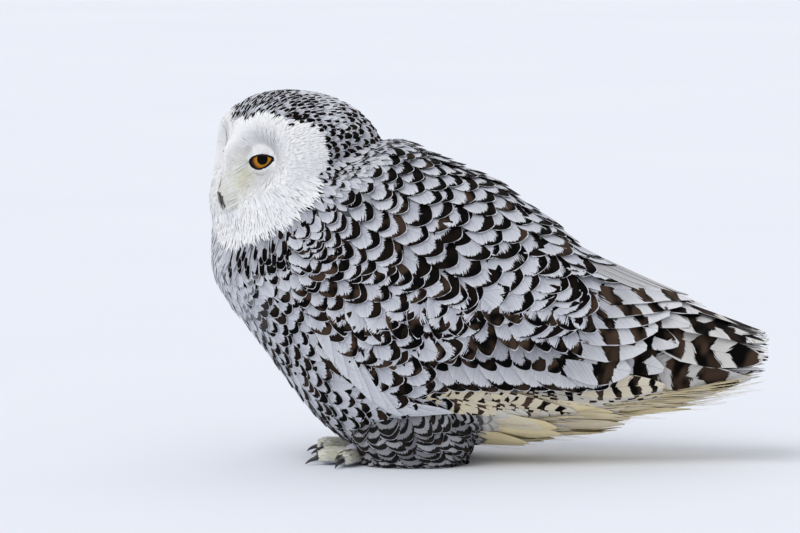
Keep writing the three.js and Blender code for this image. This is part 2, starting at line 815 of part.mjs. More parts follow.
add('head', head, SKIN.white);
add('neck', neck, SKIN.white);
add('torso', torso, SKIN.white);
add('tail', tail, SKIN.barred);
for (const side of Object.keys(SEEDS)) {
  add(`scapulars_${side}`, scapulars[side], SKIN.barred);
  add(`wing_${side}`, wings[side], SKIN.barred);
}
addPair('leg', leg, SKIN.white);
addPair('foot', foot, SKIN.cream);
claws.forEach((geometry, i) => addPair(`claw_${i + 1}`, geometry, SKIN.horn, 0.4));
add('bill_upper', upperBill, SKIN.horn, 0.4);
add('bill_lower', lowerBill, SKIN.horn, 0.4);
add('eye_left', eyes[0], SKIN.eye, 0.15);
add('eye_right', eyes[1], SKIN.eye, 0.15);

export default owl;
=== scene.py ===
import math
from functools import partial

import bmesh
import bpy
import numpy as np
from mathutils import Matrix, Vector


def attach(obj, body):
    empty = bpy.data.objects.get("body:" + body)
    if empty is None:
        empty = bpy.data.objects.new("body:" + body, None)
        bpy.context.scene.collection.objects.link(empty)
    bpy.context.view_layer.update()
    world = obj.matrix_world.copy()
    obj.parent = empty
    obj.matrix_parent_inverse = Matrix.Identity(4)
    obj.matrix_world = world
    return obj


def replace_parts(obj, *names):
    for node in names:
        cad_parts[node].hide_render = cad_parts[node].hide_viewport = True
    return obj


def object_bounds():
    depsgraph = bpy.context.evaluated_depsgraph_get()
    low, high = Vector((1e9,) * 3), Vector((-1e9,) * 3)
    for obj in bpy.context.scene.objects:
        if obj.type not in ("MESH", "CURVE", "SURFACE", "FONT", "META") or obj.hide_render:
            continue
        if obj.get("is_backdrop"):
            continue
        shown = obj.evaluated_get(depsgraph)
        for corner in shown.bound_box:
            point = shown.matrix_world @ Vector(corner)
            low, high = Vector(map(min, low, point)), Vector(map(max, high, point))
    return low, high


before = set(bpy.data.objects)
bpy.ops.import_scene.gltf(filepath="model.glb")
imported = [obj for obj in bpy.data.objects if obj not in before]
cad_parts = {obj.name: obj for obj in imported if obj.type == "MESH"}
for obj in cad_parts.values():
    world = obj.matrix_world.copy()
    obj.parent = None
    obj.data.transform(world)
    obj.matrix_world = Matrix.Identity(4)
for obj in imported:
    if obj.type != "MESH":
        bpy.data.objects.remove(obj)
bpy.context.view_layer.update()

# A life-size snowy owl model standing low on flat ground, its head turned to its left.
# It faces -X, its left side is -Y, and the ground is Z = 0. Lengths below are in millimetres
# until a mesh is made, where MM turns them to metres.
MM = 0.001


# ---- skin -----------------------------------------------------------------------------------
# The body under the plumage: one closed skin over head, trunk, thighs and feet, thick with grey
# down. It lies a few millimetres inside the outer form that the feathers build up.

# Stations from inside the head (0) to the tail tip (13): middle x and z, lean of the section in
# degrees, half width, reach towards the back, reach towards the belly.
BODY_LINE = np.array([
    [-200, 284, 66, 64, 74, 68], [-180, 267, 54, 82, 100, 114], [-150, 238, 53, 93, 116, 130],
    [-126, 215, 50, 100, 125, 135], [-99, 189, 45, 103, 135, 143], [-70, 159, 38, 104, 144, 150],
    [-43, 131, 33, 102, 150, 140], [-9, 126, 27, 96, 136, 124], [34, 119, 22, 86, 117, 110],
    [71, 113, 18, 76, 99, 95], [116, 107, 14, 66, 84, 78], [162, 105, 10, 60, 68, 61],
    [215, 102, 6, 57, 51, 45], [279, 104, 3, 54, 23, 23]], float)
SECTION_POWER = 2.25

HEAD = {"x": -197, "z": 292, "front": 68, "back": 97, "half": 77, "top": 77, "chin": 95}
HEAD_TURN = math.radians(34)
HEAD_FORWARD = np.array([-math.cos(HEAD_TURN), -math.sin(HEAD_TURN), 0])
HEAD_LEFT = np.array([math.sin(HEAD_TURN), -math.cos(HEAD_TURN), 0])
HEAD_UP = np.array([0.0, 0.0, 1.0])
HEAD_AXES = np.array([HEAD_FORWARD, HEAD_LEFT, HEAD_UP])
HEAD_MIDDLE = np.array([HEAD["x"], 0, HEAD["z"]])

LEG = {"x": -69, "y": 46, "top": 60, "long": 60, "wide": 40}
FOOT = {"x": -124, "y": 40, "toe": 9}
TOES = [(-16, 36), (12, 40), (62, 36), (172, 20)]      # bearing in degrees, length
GROUND_GAP = 0.4               # nothing soft comes nearer to the ground than this


def unit(v):
    return v / np.maximum(np.linalg.norm(v, axis=-1, keepdims=True), 1e-9)


def smooth(low, high, v):
    t = np.clip((v - low) / (high - low), 0, 1)
    return t * t * (3 - 2 * t)


def station(s):
    """The body line's values anywhere along it, by a smooth curve through the listed ones."""
    last = len(BODY_LINE) - 1
    i = np.clip(np.floor(s).astype(int), 0, last - 1)
    u = (s - i)[..., None]
    a, b, d, e = (BODY_LINE[np.clip(i + k, 0, last)] for k in (-1, 0, 1, 2))
    curve = 2 * a - 5 * b + 4 * d - e + u * (3 * (b - d) + e - a)
    return np.moveaxis(b + 0.5 * u * (d - a + u * curve), -1, 0)


def body_point(s, turn):
    """A point of the outer form. turn is 0 on the back, 90 on the left side, -90 on the right."""
    x, z, lean, half, back, belly = station(s)
    c, d = np.cos(np.radians(turn)), np.sin(np.radians(turn))
    power = 2 / SECTION_POWER
    up = np.sign(c) * np.abs(c) ** power * np.where(c > 0, back, belly)
    out = np.sign(d) * np.abs(d) ** power * half
    lean = np.radians(lean)
    return np.stack([x + up * np.sin(lean), -out, z + up * np.cos(lean)], axis=-1)


def body_normal(s, turn):
    along = body_point(s + 0.05, turn) - body_point(s - 0.05, turn)
    round_it = body_point(s, turn + 2) - body_point(s, turn - 2)
    return unit(np.cross(round_it, along))


def head_radius(way):
    """Reach of the head's form from its middle: way is forward, left and up."""
    forward, left, up = np.moveaxis(way, -1, 0)
    tall = 2.15 + 0.85 * smooth(0, 0.6, -up)
    a = np.abs(forward) / np.where(forward > 0, HEAD["front"], HEAD["back"])
    b = np.abs(left) / HEAD["half"]
    c = np.abs(up) / np.where(up > 0, HEAD["top"], HEAD["chin"])
    plain = ((a ** 2.8 + b ** 2.8) ** (tall / 2.8) + c ** tall) ** (-1 / tall)
    aside, high = np.abs(left) * plain, up * plain
    dish = -9 * np.maximum(0, 1 - (np.hypot(aside - 33, high - 8) / 34) ** 2) ** 1.5
    ridge = 6 * np.exp(-(aside / 10) ** 2) * smooth(-48, -30, high) * (1 - smooth(12, 38, high))
    brow = 2.5 * np.exp(-((aside - 24) / 15) ** 2 - ((high - 25) / 6) ** 2)
    return plain + (dish + ridge + brow) * smooth(0, 0.35, forward)


def head_place(inside):
    """A point given by its distances forward, left and up from the head's middle."""
    return HEAD_MIDDLE + inside @ HEAD_AXES


def head_point(way):
    return head_place(way * head_radius(way)[..., None])


def head_normal(way):
    side = unit(np.cross(way, np.array([0.31, 0.17, 0.93])))
    over = np.cross(way, side)
    step = 0.03
    a = head_point(unit(way + step * side)) - head_point(unit(way - step * side))
    b = head_point(unit(way + step * over)) - head_point(unit(way - step * over))
    normal = unit(np.cross(a, b))
    outward = way @ HEAD_AXES
    return normal * np.sign(np.sum(normal * outward, axis=-1, keepdims=True))


# Each eye's middle, forward, left and up of the head's; its axis turns outward. The opening
# between the lids is nearly straight above and rises away from the bill.
EYE = {"forward": 53.5, "left": 32, "up": 12, "radius": 20, "outward": math.radians(26)}
OPENING = {"half": 13.6, "upper": 4.6, "lower": 7.6, "rise": math.radians(11)}
BALL_RIM = 15.5                # the face follows the eyeball's curve this far from its axis
EYE_TURN = np.array([[math.cos(EYE["outward"]), math.sin(EYE["outward"])],
                     [-math.sin(EYE["outward"]), math.cos(EYE["outward"])]])
EYE_BACK = np.array([EYE["forward"], EYE["left"]]) - EYE["radius"] * EYE_TURN[0]


def from_eye(side, ahead, aside, up):
    """A point given along the eye's axis, away from the bill, and up."""
    level = np.stack([ahead, aside], axis=-1) @ EYE_TURN + EYE_BACK
    return head_place(np.stack([level[..., 0], side * level[..., 1], EYE["up"] + up], axis=-1))


def to_eye(side, points):
    inside = (points - HEAD_MIDDLE) @ HEAD_AXES.T
    level = np.stack([inside[..., 0], side * inside[..., 1]], axis=-1) - EYE_BACK
    return *np.moveaxis(level @ EYE_TURN.T, -1, 0), inside[..., 2] - EYE["up"]


def from_opening(aside, up, margin=0.0):
    """How far out a place is, where 1 is a margin outside the pointed opening between the lids."""
    c, s = math.cos(OPENING["rise"]), math.sin(OPENING["rise"])
    flat, high = aside * c + up * s, up * c - aside * s
    wide = np.abs(flat) / (OPENING["half"] + margin)
    tall = np.abs(high) / (np.where(high > 0, OPENING["upper"], OPENING["lower"]) + margin)
    return (wide ** 2 + tall ** (4 / 3)) ** 0.6


def eye_dish(points, sunk=0.0):
    """Draws the face back round each eye to meet the lids, and sinks it inside the opening."""
    for side in (1, -1):
        ahead, aside, up = to_eye(side, points)
        away = np.hypot(aside, up)
        out = from_opening(aside, up)
        ball = np.sqrt(EYE["radius"] ** 2 - np.minimum(away, BALL_RIM) ** 2)
        rim = ball + 1.0 + 0.34 * np.maximum(0, away - BALL_RIM) - sunk * (1 - smooth(0.9, 1.15, out))
        pull = (1 - smooth(14, 50, away)) * smooth(-38, -24, aside) * (ahead > 0)
        points = np.where((pull > 0)[..., None],
                          from_eye(side, ahead + pull * (rim - ahead), aside, up), points)
    return points


def neck_point(turn, share):
    """The neck's form between the head (share 0) and the shoulders (share 1)."""
    way = unit((body_point(0.2 + 0 * turn, turn) - HEAD_MIDDLE) @ HEAD_AXES.T)
    start, end = head_point(way), body_point(1.6 + 0 * turn, turn)
    span = end - start
    reach = np.linalg.norm(span, axis=-1, keepdims=True)
    up = head_normal(way)
    leave = unit(span - up * np.sum(span * up, axis=-1, keepdims=True))
    arrive = unit(body_point(1.7 + 0 * turn, turn) - body_point(1.5 + 0 * turn, turn))
    near, far = start + 0.4 * reach * leave, end - 0.4 * reach * arrive
    t = share[..., None]
    return ((1 - t) ** 3 * start + 3 * t * (1 - t) ** 2 * near + 3 * t * t * (1 - t) * far
            + t ** 3 * end)


def neck_normal(turn, share):
    along = neck_point(turn, share + 0.03) - neck_point(turn, share - 0.03)
    round_it = neck_point(turn + 2, share) - neck_point(turn - 2, share)
    return unit(np.cross(round_it, along))


def loft(rings, hoop=False):
    """Points and four-sided faces of a closed form through rings of one even length. A hoop's
    last ring joins its first one, and other forms have their ends closed."""
    rings = np.asarray(rings, float)
    steps, count = rings.shape[:2]
    r, k = np.meshgrid(np.arange(steps - (not hoop)), np.arange(count), indexing="ij")
    a, b = r * count + k, r * count + (k + 1) % count
    walls = np.stack([a, b, b + count, a + count], axis=-1).reshape(-1, 4) % (steps * count)
    if hoop:
        return rings.reshape(-1, 3), walls
    j = np.arange(count // 2 - 1)
    near = np.stack([j + 1, j, count - 1 - j, count - 2 - j], axis=-1)
    far = near[:, ::-1] + (steps - 1) * count
    return rings.reshape(-1, 3), np.concatenate([walls, near, far])


def piece(name, points, quads, material):
    """A smooth-shaded mesh object at the origin, from points in millimetres."""
    mesh = bpy.data.meshes.new(name)
    mesh.vertices.add(len(points))
    mesh.vertices.foreach_set("co", (np.asarray(points) * MM).astype(np.float32).ravel())
    mesh.loops.add(quads.size)
    mesh.loops.foreach_set("vertex_index", quads.astype(np.int32).ravel())
    mesh.polygons.add(len(quads))
    mesh.polygons.foreach_set("loop_start", np.arange(0, quads.size, 4, dtype=np.int32))
    mesh.update(calc_edges=True)
    mesh.polygons.foreach_set("use_smooth", np.ones(len(quads), bool))
    mesh.materials.append(material)
    built = bpy.data.objects.new(name, mesh)
    bpy.context.scene.collection.objects.link(built)
    return built


def outward(built):
    """Turns a closed mesh right side out."""
    shell = bmesh.new()
    shell.from_mesh(built.data)
    bmesh.ops.recalc_face_normals(shell, faces=shell.faces)
    shell.to_mesh(built.data)
    shell.free()
    return built


def linear(code):
    """A colour from its sRGB hex value."""
    parts = [int(code[i:i + 2], 16) / 255 for i in (1, 3, 5)]
    return (*[p / 12.92 if p <= 0.04045 else ((p + 0.055) / 1.055) ** 2.4 for p in parts], 1)


COLOURS = {"data_type": "RGBA"}      # makes a Mix node mix colours


def node(tree, kind, *inputs, **named):
    """Adds a node; a kind in capitals is a Math operation. The inputs in use are filled or linked
    in order or by name, names in lower case are properties, and a node given as an input
    stands for its first output in use."""
    made = tree.nodes.new("ShaderNodeMath" if kind.isupper() else "ShaderNode" + kind)
    if kind.isupper():
        made.operation = kind
    for key in filter(str.islower, named):
        setattr(made, key, named[key])
    filled = list(zip([socket for socket in made.inputs if socket.enabled], inputs))
    filled += [(made.inputs[key.replace("_", " ")], named[key])
               for key in named if not key.islower()]
    for socket, value in filled:
        if isinstance(value, bpy.types.Node):
            value = next(output for output in value.outputs if output.enabled)
        if isinstance(value, bpy.types.NodeSocket):
            tree.links.new(value, socket)
        else:
            socket.default_value = value
    return made


def new_material(name, roughness, specular=None):
    """A material with its tree and its Principled node."""
    material = bpy.data.materials.new(name)
    material.use_nodes = True
    tree = material.node_tree
    shader = tree.nodes["Principled BSDF"]
    shader.inputs["Roughness"].default_value = roughness
    if specular is not None:
        shader.inputs["Specular IOR Level"].default_value = specular
    return material, tree, shader


def mottled(name, dark, light, clump, detail, roughness, specular=None):
    """A material that varies between two colours in clumps of a given width. Its pattern and the
    mixed colour come back with it, for what is built on them."""
    material, tree, shader = new_material(name, roughness, specular)
    place = node(tree, "TexCoord").outputs["Object"]
    pattern = node(tree, "TexNoise", place, 1 / (clump * MM), detail)
    tone = node(tree, "Mix", pattern, linear(dark), linear(light), **COLOURS)
    tree.links.new(tone.outputs[2], shader.inputs["Base Color"])
    return material, tree, shader, pattern, tone


# Down: loose grey-white barbs with no flat vane. It gives a matt, cloudy ground between feathers,
# and a plain white one where "pale" says that it lies under the face.
down, tree, shader, clumps, tone = mottled("down", "#8d8f98", "#c9cbd2", clump=6.0, detail=4.0,
                                           roughness=0.95)
lump = node(tree, "Bump", Height=clumps.outputs["Fac"], Distance=0.002, Strength=0.8)
faced = node(tree, "Mix", node(tree, "Attribute", attribute_name="pale").outputs["Fac"], tone,
             linear("#eeeeee"), **COLOURS)
tree.links.new(faced.outputs[2], shader.inputs["Base Color"])
tree.links.new(lump.outputs["Normal"], shader.inputs["Normal"])


def skin_parts():
    """The closed forms that are fused into the skin."""
    round_it = np.linspace(0, 360, 40, endpoint=False)
    s, turn = np.meshgrid(np.linspace(1.3, 12.7, 60), round_it, indexing="ij")
    # It lies deeper below the long feathers of wing ends and tail.
    depth = 7 + 7 * smooth(8.5, 11.8, s) + 11 * smooth(11.6, 12.7, s)
    yield loft(body_point(s, turn) - body_normal(s, turn) * depth[..., None])
    share, turn = np.meshgrid(np.linspace(0, 1, 8), round_it + 1, indexing="ij")
    yield loft(neck_point(turn, share) - 5 * neck_normal(turn, share))
    high, turn = np.meshgrid(np.radians(np.linspace(-86, 86, 30)), np.radians(round_it),
                             indexing="ij")
    way = np.stack([np.cos(high) * np.cos(turn), np.cos(high) * np.sin(turn), np.sin(high)], -1)
    yield loft(head_place(way * (head_radius(way) - 4)[..., None]))
    for side in (-1, 1):
        z, turn = np.meshgrid(np.linspace(3, LEG["top"], 12), np.radians(round_it), indexing="ij")
        size = np.interp(z, [0, 7, 28, 60], [0.56, 0.74, 0.92, 0.9])
        yield loft(np.stack([LEG["x"] + LEG["long"] * size * np.cos(turn),
                             side * LEG["y"] + LEG["wide"] * size * np.sin(turn), z], -1))
        t, turn = np.meshgrid(np.linspace(0, 1, 6), np.radians(round_it), indexing="ij")
        yield loft(np.stack([FOOT["x"] - 12 + 40 * t, side * FOOT["y"] + 12 * np.cos(turn),
                             10 + 12 * t + 9 * np.sin(turn)], -1))
        for bearing, length in TOES:
            yield toe_form(side, bearing, length)


def toe_axes(side, bearing):
    """A toe's direction and the level direction across it."""
    ahead = np.array([-math.cos(math.radians(bearing)), side * math.sin(math.radians(bearing)), 0])
    return ahead, np.array([ahead[1], -ahead[0], 0])


def toe_form(side, bearing, length):
    ahead, aside = toe_axes(side, bearing)
    start = np.array([FOOT["x"], side * FOOT["y"], 7.2])
    turn = np.radians(np.arange(0, 360, 30))[:, None]
    rings = []
    for t, size in [(0, 0.9), (0.3, 0.8), (0.55, 0.78), (0.8, 0.85), (0.95, 0.62), (1, 0.35)]:
        ring = start + ahead * t * length + FOOT["toe"] * size * (
            aside * np.cos(turn) + HEAD_UP * np.sin(turn))
        ring[:, 2] = np.maximum(ring[:, 2], 0.6)
        rings.append(ring)
    return loft(rings)


def points_of(mesh):
    """A mesh's points in millimetres."""
    flat = np.empty(len(mesh.vertices) * 3, np.float32)
    mesh.vertices.foreach_get("co", flat)
    return flat.reshape(-1, 3) / MM


SKIN_GRID = 3.2                # the forms are fused on a grid this fine
all_points, all_quads, so_far = [], [], 0
for form_points, form_quads in skin_parts():
    all_points.append(form_points)
    all_quads.append(form_quads + so_far)
    so_far += len(form_points)
rough = outward(piece("rough_skin", np.concatenate(all_points), np.concatenate(all_quads), down))
remesh = rough.modifiers.new("fuse", "REMESH")
remesh.mode, remesh.voxel_size, remesh.use_smooth_shade = "VOXEL", SKIN_GRID * MM, True
relax = rough.modifiers.new("relax", "SMOOTH")
relax.factor, relax.iterations = 0.5, 3
fused = bpy.data.meshes.new_from_object(
    rough.evaluated_get(bpy.context.evaluated_depsgraph_get()))
bpy.data.objects.remove(rough)
skin = bpy.data.objects.new("skin", fused)
bpy.context.scene.collection.objects.link(skin)
sunken = eye_dish(points_of(fused), sunk=3.0)
fused.vertices.foreach_set("co", (sunken * MM).astype(np.float32).ravel())
fused.update()
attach(skin, "root")
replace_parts(skin, "head", "neck", "torso", "leg_left", "leg_right", "foot_left", "foot_right")


# ---- body plumage -----------------------------------------------------------------------------
# Contour feathers of breast, flanks, shoulders and back. Each is a thin cambered vane, rooted in
# the skin and shingled over the next row towards the tail.

# A vane's outline widens from STEM at its root to ROUND_FROM of its length, then closes in a blunt
# point.
STEM = 0.4
ROUND_FROM = 0.6
TIP_POWER = 1.6
# Section of each kind of vane, across and up, and where along it the sections stand.
THIN = [(-1, 0), (0, 1), (1, 0), (0, -1)]
FLAT = [(-1, 0.5), (0, 1), (1, 0.5), (1, -0.5), (0, -1), (-1, -0.5)]
SECTIONS = {"fine": THIN, "plain": FLAT, "broad": FLAT}
PLACES = {
    "fine": np.array([0, 0.35, 0.7, 0.9, 1]),
    "plain": np.array([0, 0.28, 0.55, 0.76, 0.91, 1]),
    "broad": np.array([0, 0.2, 0.4, 0.6, 0.76, 0.88, 0.96, 1]),
}


def outline(t):
    """Half width along a vane, as a share of its greatest."""
    body = STEM + (1 - STEM) * np.sin(np.clip(t / ROUND_FROM, 0, 1) * np.pi / 2)
    past = np.maximum(0, t - ROUND_FROM) / (1 - ROUND_FROM)
    return body * np.maximum(0.04, 1 - past ** TIP_POWER) ** (1 / TIP_POWER)


# A vane's patch on the OFBake map, as a share of the map. A plain barb needs only a texel or two.
# A marked feather has as much as the gaps between roots leave, or its marks would blur.
BARB_PATCH = 0.003


def vanes(name, line, normal, width, root_uv, look, section, thick, camber, material, seed,
          tilt=0.0, patch=BARB_PATCH, ragged=0.05):
    """One mesh of closed vanes. line and normal hold each vane's middle line, from root to tip,
    and width its full width. camber curves it across and tilt leans it to one side. look holds
    the numbers that its colouring reads: mark (height, spacing, number), tint (shares of dark,
    brown and cream) and shade (share of the width that is marked, smoke, lean)."""
    rng = np.random.default_rng(seed)
    count, steps = line.shape[:2]
    over, under = np.array(SECTIONS[section], float).T
    t = PLACES[section]
    shape = (count, steps, len(over))

    def each(value):
        """One value for each vane, held by all its points."""
        return np.broadcast_to(np.broadcast_to(value, count)[:, None, None], shape)

    tangent = unit(np.gradient(line, axis=1))
    across = unit(np.cross(tangent, normal))
    spread = np.broadcast_to(width, count)[:, None] / 2
    half = (spread * outline(t) * (1 + ragged * rng.uniform(-1, 1, (count, steps))))[..., None]
    flat = half * over
    lean = each(tilt)
    rise = (under * thick / 2 * (1 - 0.6 * t[:, None]) - camber * half * over ** 2 + lean * flat)
    points = (line[:, :, None] + across[:, :, None] * flat[..., None]
              + normal[:, :, None] * rise[..., None])
    points[..., 2] = np.maximum(points[..., 2], GROUND_GAP)
    one = loft(points[0])[1]
    quads = (one + (np.arange(count) * len(over) * steps)[:, None, None]).reshape(-1, 4)
    built = piece(name, points.reshape(-1, 3), quads, material)

    # Upper and under side are shaded as one smoothly curved sheet.
    upright = unit(normal - tangent * np.sum(normal * tangent, axis=-1, keepdims=True))
    face = unit(upright[:, :, None] + across[:, :, None] * (2 * camber * over - lean)[..., None])
    face = face * np.where(under < 0, -1.0, 1.0)[:, None]
    built.data.normals_split_custom_set_from_vertices(face.reshape(-1, 3))

    length = np.linalg.norm(np.diff(line, axis=1), axis=-1).sum(axis=1)
    from_tip = np.broadcast_to((length[:, None] * (1 - t))[..., None], shape)
    put(built, "vane", flat, from_tip, each(rng.random(count)))
    put(built, "form", each(spread[:, 0]), each(length * (1 - ROUND_FROM)), each(length))
    for key, usual in (("mark", (0, 1, 0)), ("tint", (0, 0, 0)), ("shade", (0.9, 0, 0))):
        put(built, key, *map(each, look.get(key, usual)))
    corner = np.stack(np.broadcast_arrays(over / 2, (t - 0.5)[None, :, None]), axis=-1)
    unwrap(built, "OFBake", root_uv[:, None, None] + patch * corner)
    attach(built, "root")
    return built


def put(built, name, *values):
    """Stores three numbers a vertex for the materials."""
    made = built.data.attributes.new(name, "FLOAT_VECTOR", "POINT")
    made.data.foreach_set("vector", np.stack(values, axis=-1).astype(np.float32).ravel())


def unwrap(built, name, spots):
    """Lays out a UV map from a place for each vertex."""
    loops = np.empty(len(built.data.loops), np.int32)
    built.data.loops.foreach_get("vertex_index", loops)
    layer = built.data.uv_layers.new(name=name)
    layer.data.foreach_set("uv", spots.reshape(-1, 2)[loops].astype(np.float32).ravel())


# Feather: white keratin vane with blackish-brown melanin marks. Barbs slant from the shaft to the
# edge, so the marks have a saw-toothed inner rim, and the white has a faint silky grain.
# The grey after the white is painted shade for each feather's covered root.
FEATHER_WHITE, FEATHER_ROOT_SHADE = "#d9dadf", "#999ca7"
FEATHER_BLACK, FEATHER_BROWN = "#040303", "#4a3a2f"
FEATHER_CREAM, FEATHER_SMOKE = "#e4d4ab", "#6c6e77"
BARB = 1.1             # spacing of the barbs, which clump and are drawn coarser than real ones
SOFT_STEP = {"interpolation_type": "SMOOTHSTEP"}


def stored(tree, name):
    """The three numbers that the vanes hold under a name."""
    return node(tree, "SeparateXYZ",
                node(tree, "Attribute", attribute_name=name).outputs["Vector"]).outputs


def feather_material(name):
    material, tree, shader = new_material(name, roughness=0.8, specular=0.06)
    add = partial(node, tree)
    across, behind_tip, seed = stored(tree, "vane")
    half, tip, length = stored(tree, "form")
    tall, pitch, bars = stored(tree, "mark")
    dark, brown, cream = stored(tree, "tint")
    slim, smoke, lean_to = stored(tree, "shade")
    # Three more random numbers for each feather, made from its one.
    chance, later_chance, break_chance = (
        add("FRACT", add("MULTIPLY", seed, factor)) for factor in (7.31, 13.7, 29.3))
    # Places on the vane: share of the half width, and how far the rounded tip curves back.
    away = add("ABSOLUTE", across)
    signed = add("DIVIDE", across, half)
    share = add("MINIMUM", add("ABSOLUTE", signed), 1.0)
    curve = add("SUBTRACT", 1.0, add("POWER", add("SUBTRACT", 1.0, add(
        "POWER", share, TIP_POWER)), 1 / TIP_POWER))
    # saw varies from barb to barb, wave over the whole feather.
    barb = add("DIVIDE", add("ADD", behind_tip, add("MULTIPLY", away, 0.9)), BARB)
    web = add("ADD", add("MULTIPLY", add("SIGN", across), 11.0), add("MULTIPLY", seed, 97.0))
    saw = add("TexNoise", add("CombineXYZ", barb, web, add("MULTIPLY", away, 0.06)), 1.0, 1.5)
    wave = add("TexNoise", add("CombineXYZ", add("MULTIPLY", signed, 0.8), add(
        "DIVIDE", behind_tip, 14.0), add("MULTIPLY", seed, 53.0)), 1.0, 1.0)
    saw_swing = add("SUBTRACT", saw, 0.5)
    wave_swing = add("SUBTRACT", wave, 0.5)
    lean = add("ADD", lean_to, add("MULTIPLY", add("SUBTRACT", chance, 0.5), 0.6))
    # Long stiff feathers have straight bands; short ones have one mark that follows the tip.
    stiff = add("GREATER_THAN", bars, 2.5)
    soft = add("SUBTRACT", 1.0, stiff)
    fringe = add("MULTIPLY", length, add("MULTIPLY", wave, 0.012))
    rim = add("SUBTRACT", add("SUBTRACT", behind_tip, add("MULTIPLY", curve, tip)), fringe)
    late = add("MULTIPLY", pitch, add("ADD", 0.25, add("MULTIPLY", later_chance, 0.6)))
    uneven = add("MULTIPLY", wave_swing, add("MULTIPLY", pitch, 0.9))
    broken = add("MULTIPLY", add("MULTIPLY", add("SIGN", across), pitch),
                 add("MULTIPLY", add("SUBTRACT", break_chance, 0.5), 0.5))
    frayed = add("MULTIPLY", saw_swing, add("MULTIPLY", tall, 0.5))
    band = add("ADD", add("SUBTRACT", add("ADD", behind_tip, add("MULTIPLY", away, 0.3)), late),
               add("ADD", add("ADD", uneven, broken), frayed))
    behind = add("ADD", add("MULTIPLY", soft, rim), add("MULTIPLY", stiff, band))
    number = add("FLOOR", add("DIVIDE", behind, pitch))
    inside = add("SUBTRACT", behind, add("MULTIPLY", number, pitch))
    # A mark is tallest at its peak and falls off to the sides with a saw-toothed upper edge.
    slant = add("MULTIPLY", add("ABSOLUTE", add("SUBTRACT", signed, lean)),
                add("ADD", 0.25, add("MULTIPLY", soft, 0.35)))
    peak = add("SUBTRACT", add("ADD", 1.0, add("MULTIPLY", soft, 0.3)), slant)
    skew = add("MULTIPLY", wave_swing, add("MULTIPLY", tall, 1.1))
    jag = add("MULTIPLY", saw_swing, add("ADD", 1.6, add("MULTIPLY", tall, 0.8)))
    height = add("ADD", add("MULTIPLY", tall, peak), add("ADD", skew, jag))
    counted = add("MULTIPLY", add("MULTIPLY", add("LESS_THAN", number, bars), add(
        "GREATER_THAN", behind, 0.0)), add("MapRange", rim, 0.0, 0.5, **SOFT_STEP))
    below = add("MapRange", add("SUBTRACT", height, inside), -0.25, 0.35, **SOFT_STEP)
    within = add("MapRange", add("SUBTRACT", slim, share), -0.02, 0.08, **SOFT_STEP)
    mark = add("MULTIPLY", add("MULTIPLY", add(
        "MapRange", inside, -0.1, 0.5, **SOFT_STEP), below), add(
        "MULTIPLY", within, add("MULTIPLY", counted, dark)))
    # Towards the root the white darkens with painted shade, for where the feather above covers it,
    # and has a silky grain; then it takes on smoke and cream.
    root_shade = add("MapRange", add("DIVIDE", rim, length), 0.04, 0.55)
    silk = add("MULTIPLY", add("MapRange", saw, 0.4, 0.7, **SOFT_STEP), 0.28)
    white = add("Mix", add("ADD", add("MULTIPLY", root_shade, 0.72), silk), linear(FEATHER_WHITE),
                linear(FEATHER_ROOT_SHADE), **COLOURS)
    grey = add("Mix", smoke, white, linear(FEATHER_SMOKE), **COLOURS)
    warm = add("Mix", cream, grey, linear(FEATHER_CREAM), **COLOURS)
    rusty = add("MULTIPLY", brown, add("MapRange", wave, 0.42, 0.66, **SOFT_STEP))
    ink = add("Mix", rusty, linear(FEATHER_BLACK), linear(FEATHER_BROWN), **COLOURS)
    # Only feathers over 16 mm wide show a dark shaft.
    shaft = add("MULTIPLY", add("MapRange", away, 0.15, 0.4, 1.0, 0.0, **SOFT_STEP), add(
        "MULTIPLY", add("GREATER_THAN", half, 8.0), 0.3))
    colour = add("Mix", add("MAXIMUM", mark, shaft), warm, ink, **COLOURS)
    bump = add("Bump", Height=saw, Distance=0.0003, Strength=0.4)
    tree.links.new(colour.outputs[2], shader.inputs["Base Color"])
    tree.links.new(bump.outputs["Normal"], shader.inputs["Normal"])
    return material


barred_feather = feather_material("barred_feather")

# The lines that bound the shoulder feathers and the folded wing, in degrees round the body.
SHOULDER_LOW = [(1.6, 104), (2.87, 100), (4.13, 94), (5.4, 88), (6.67, 83), (7.93, 77), (9.2, 70)]
WING_LOW = [(1.5, 106), (2.5, 118), (3.5, 126), (4.5, 128), (6.5, 127), (7.5, 129), (8.5, 131),
            (10.5, 132)]
LAST_STATION = len(BODY_LINE) - 1
LIFT_AT = (0, 0.45, 1)         # where along a feather its three lifts hold


def line_at(keys):
    """A function that follows the listed places and values."""
    return lambda s: np.interp(s, *zip(*keys))


def const(value):
    return lambda s: value


shoulder_low, wing_low = line_at(SHOULDER_LOW), line_at(WING_LOW)


def run_along(points):
    """Distance along a line at each of its points."""
    return np.append(0, np.cumsum(np.linalg.norm(np.diff(points, axis=0), axis=1)))


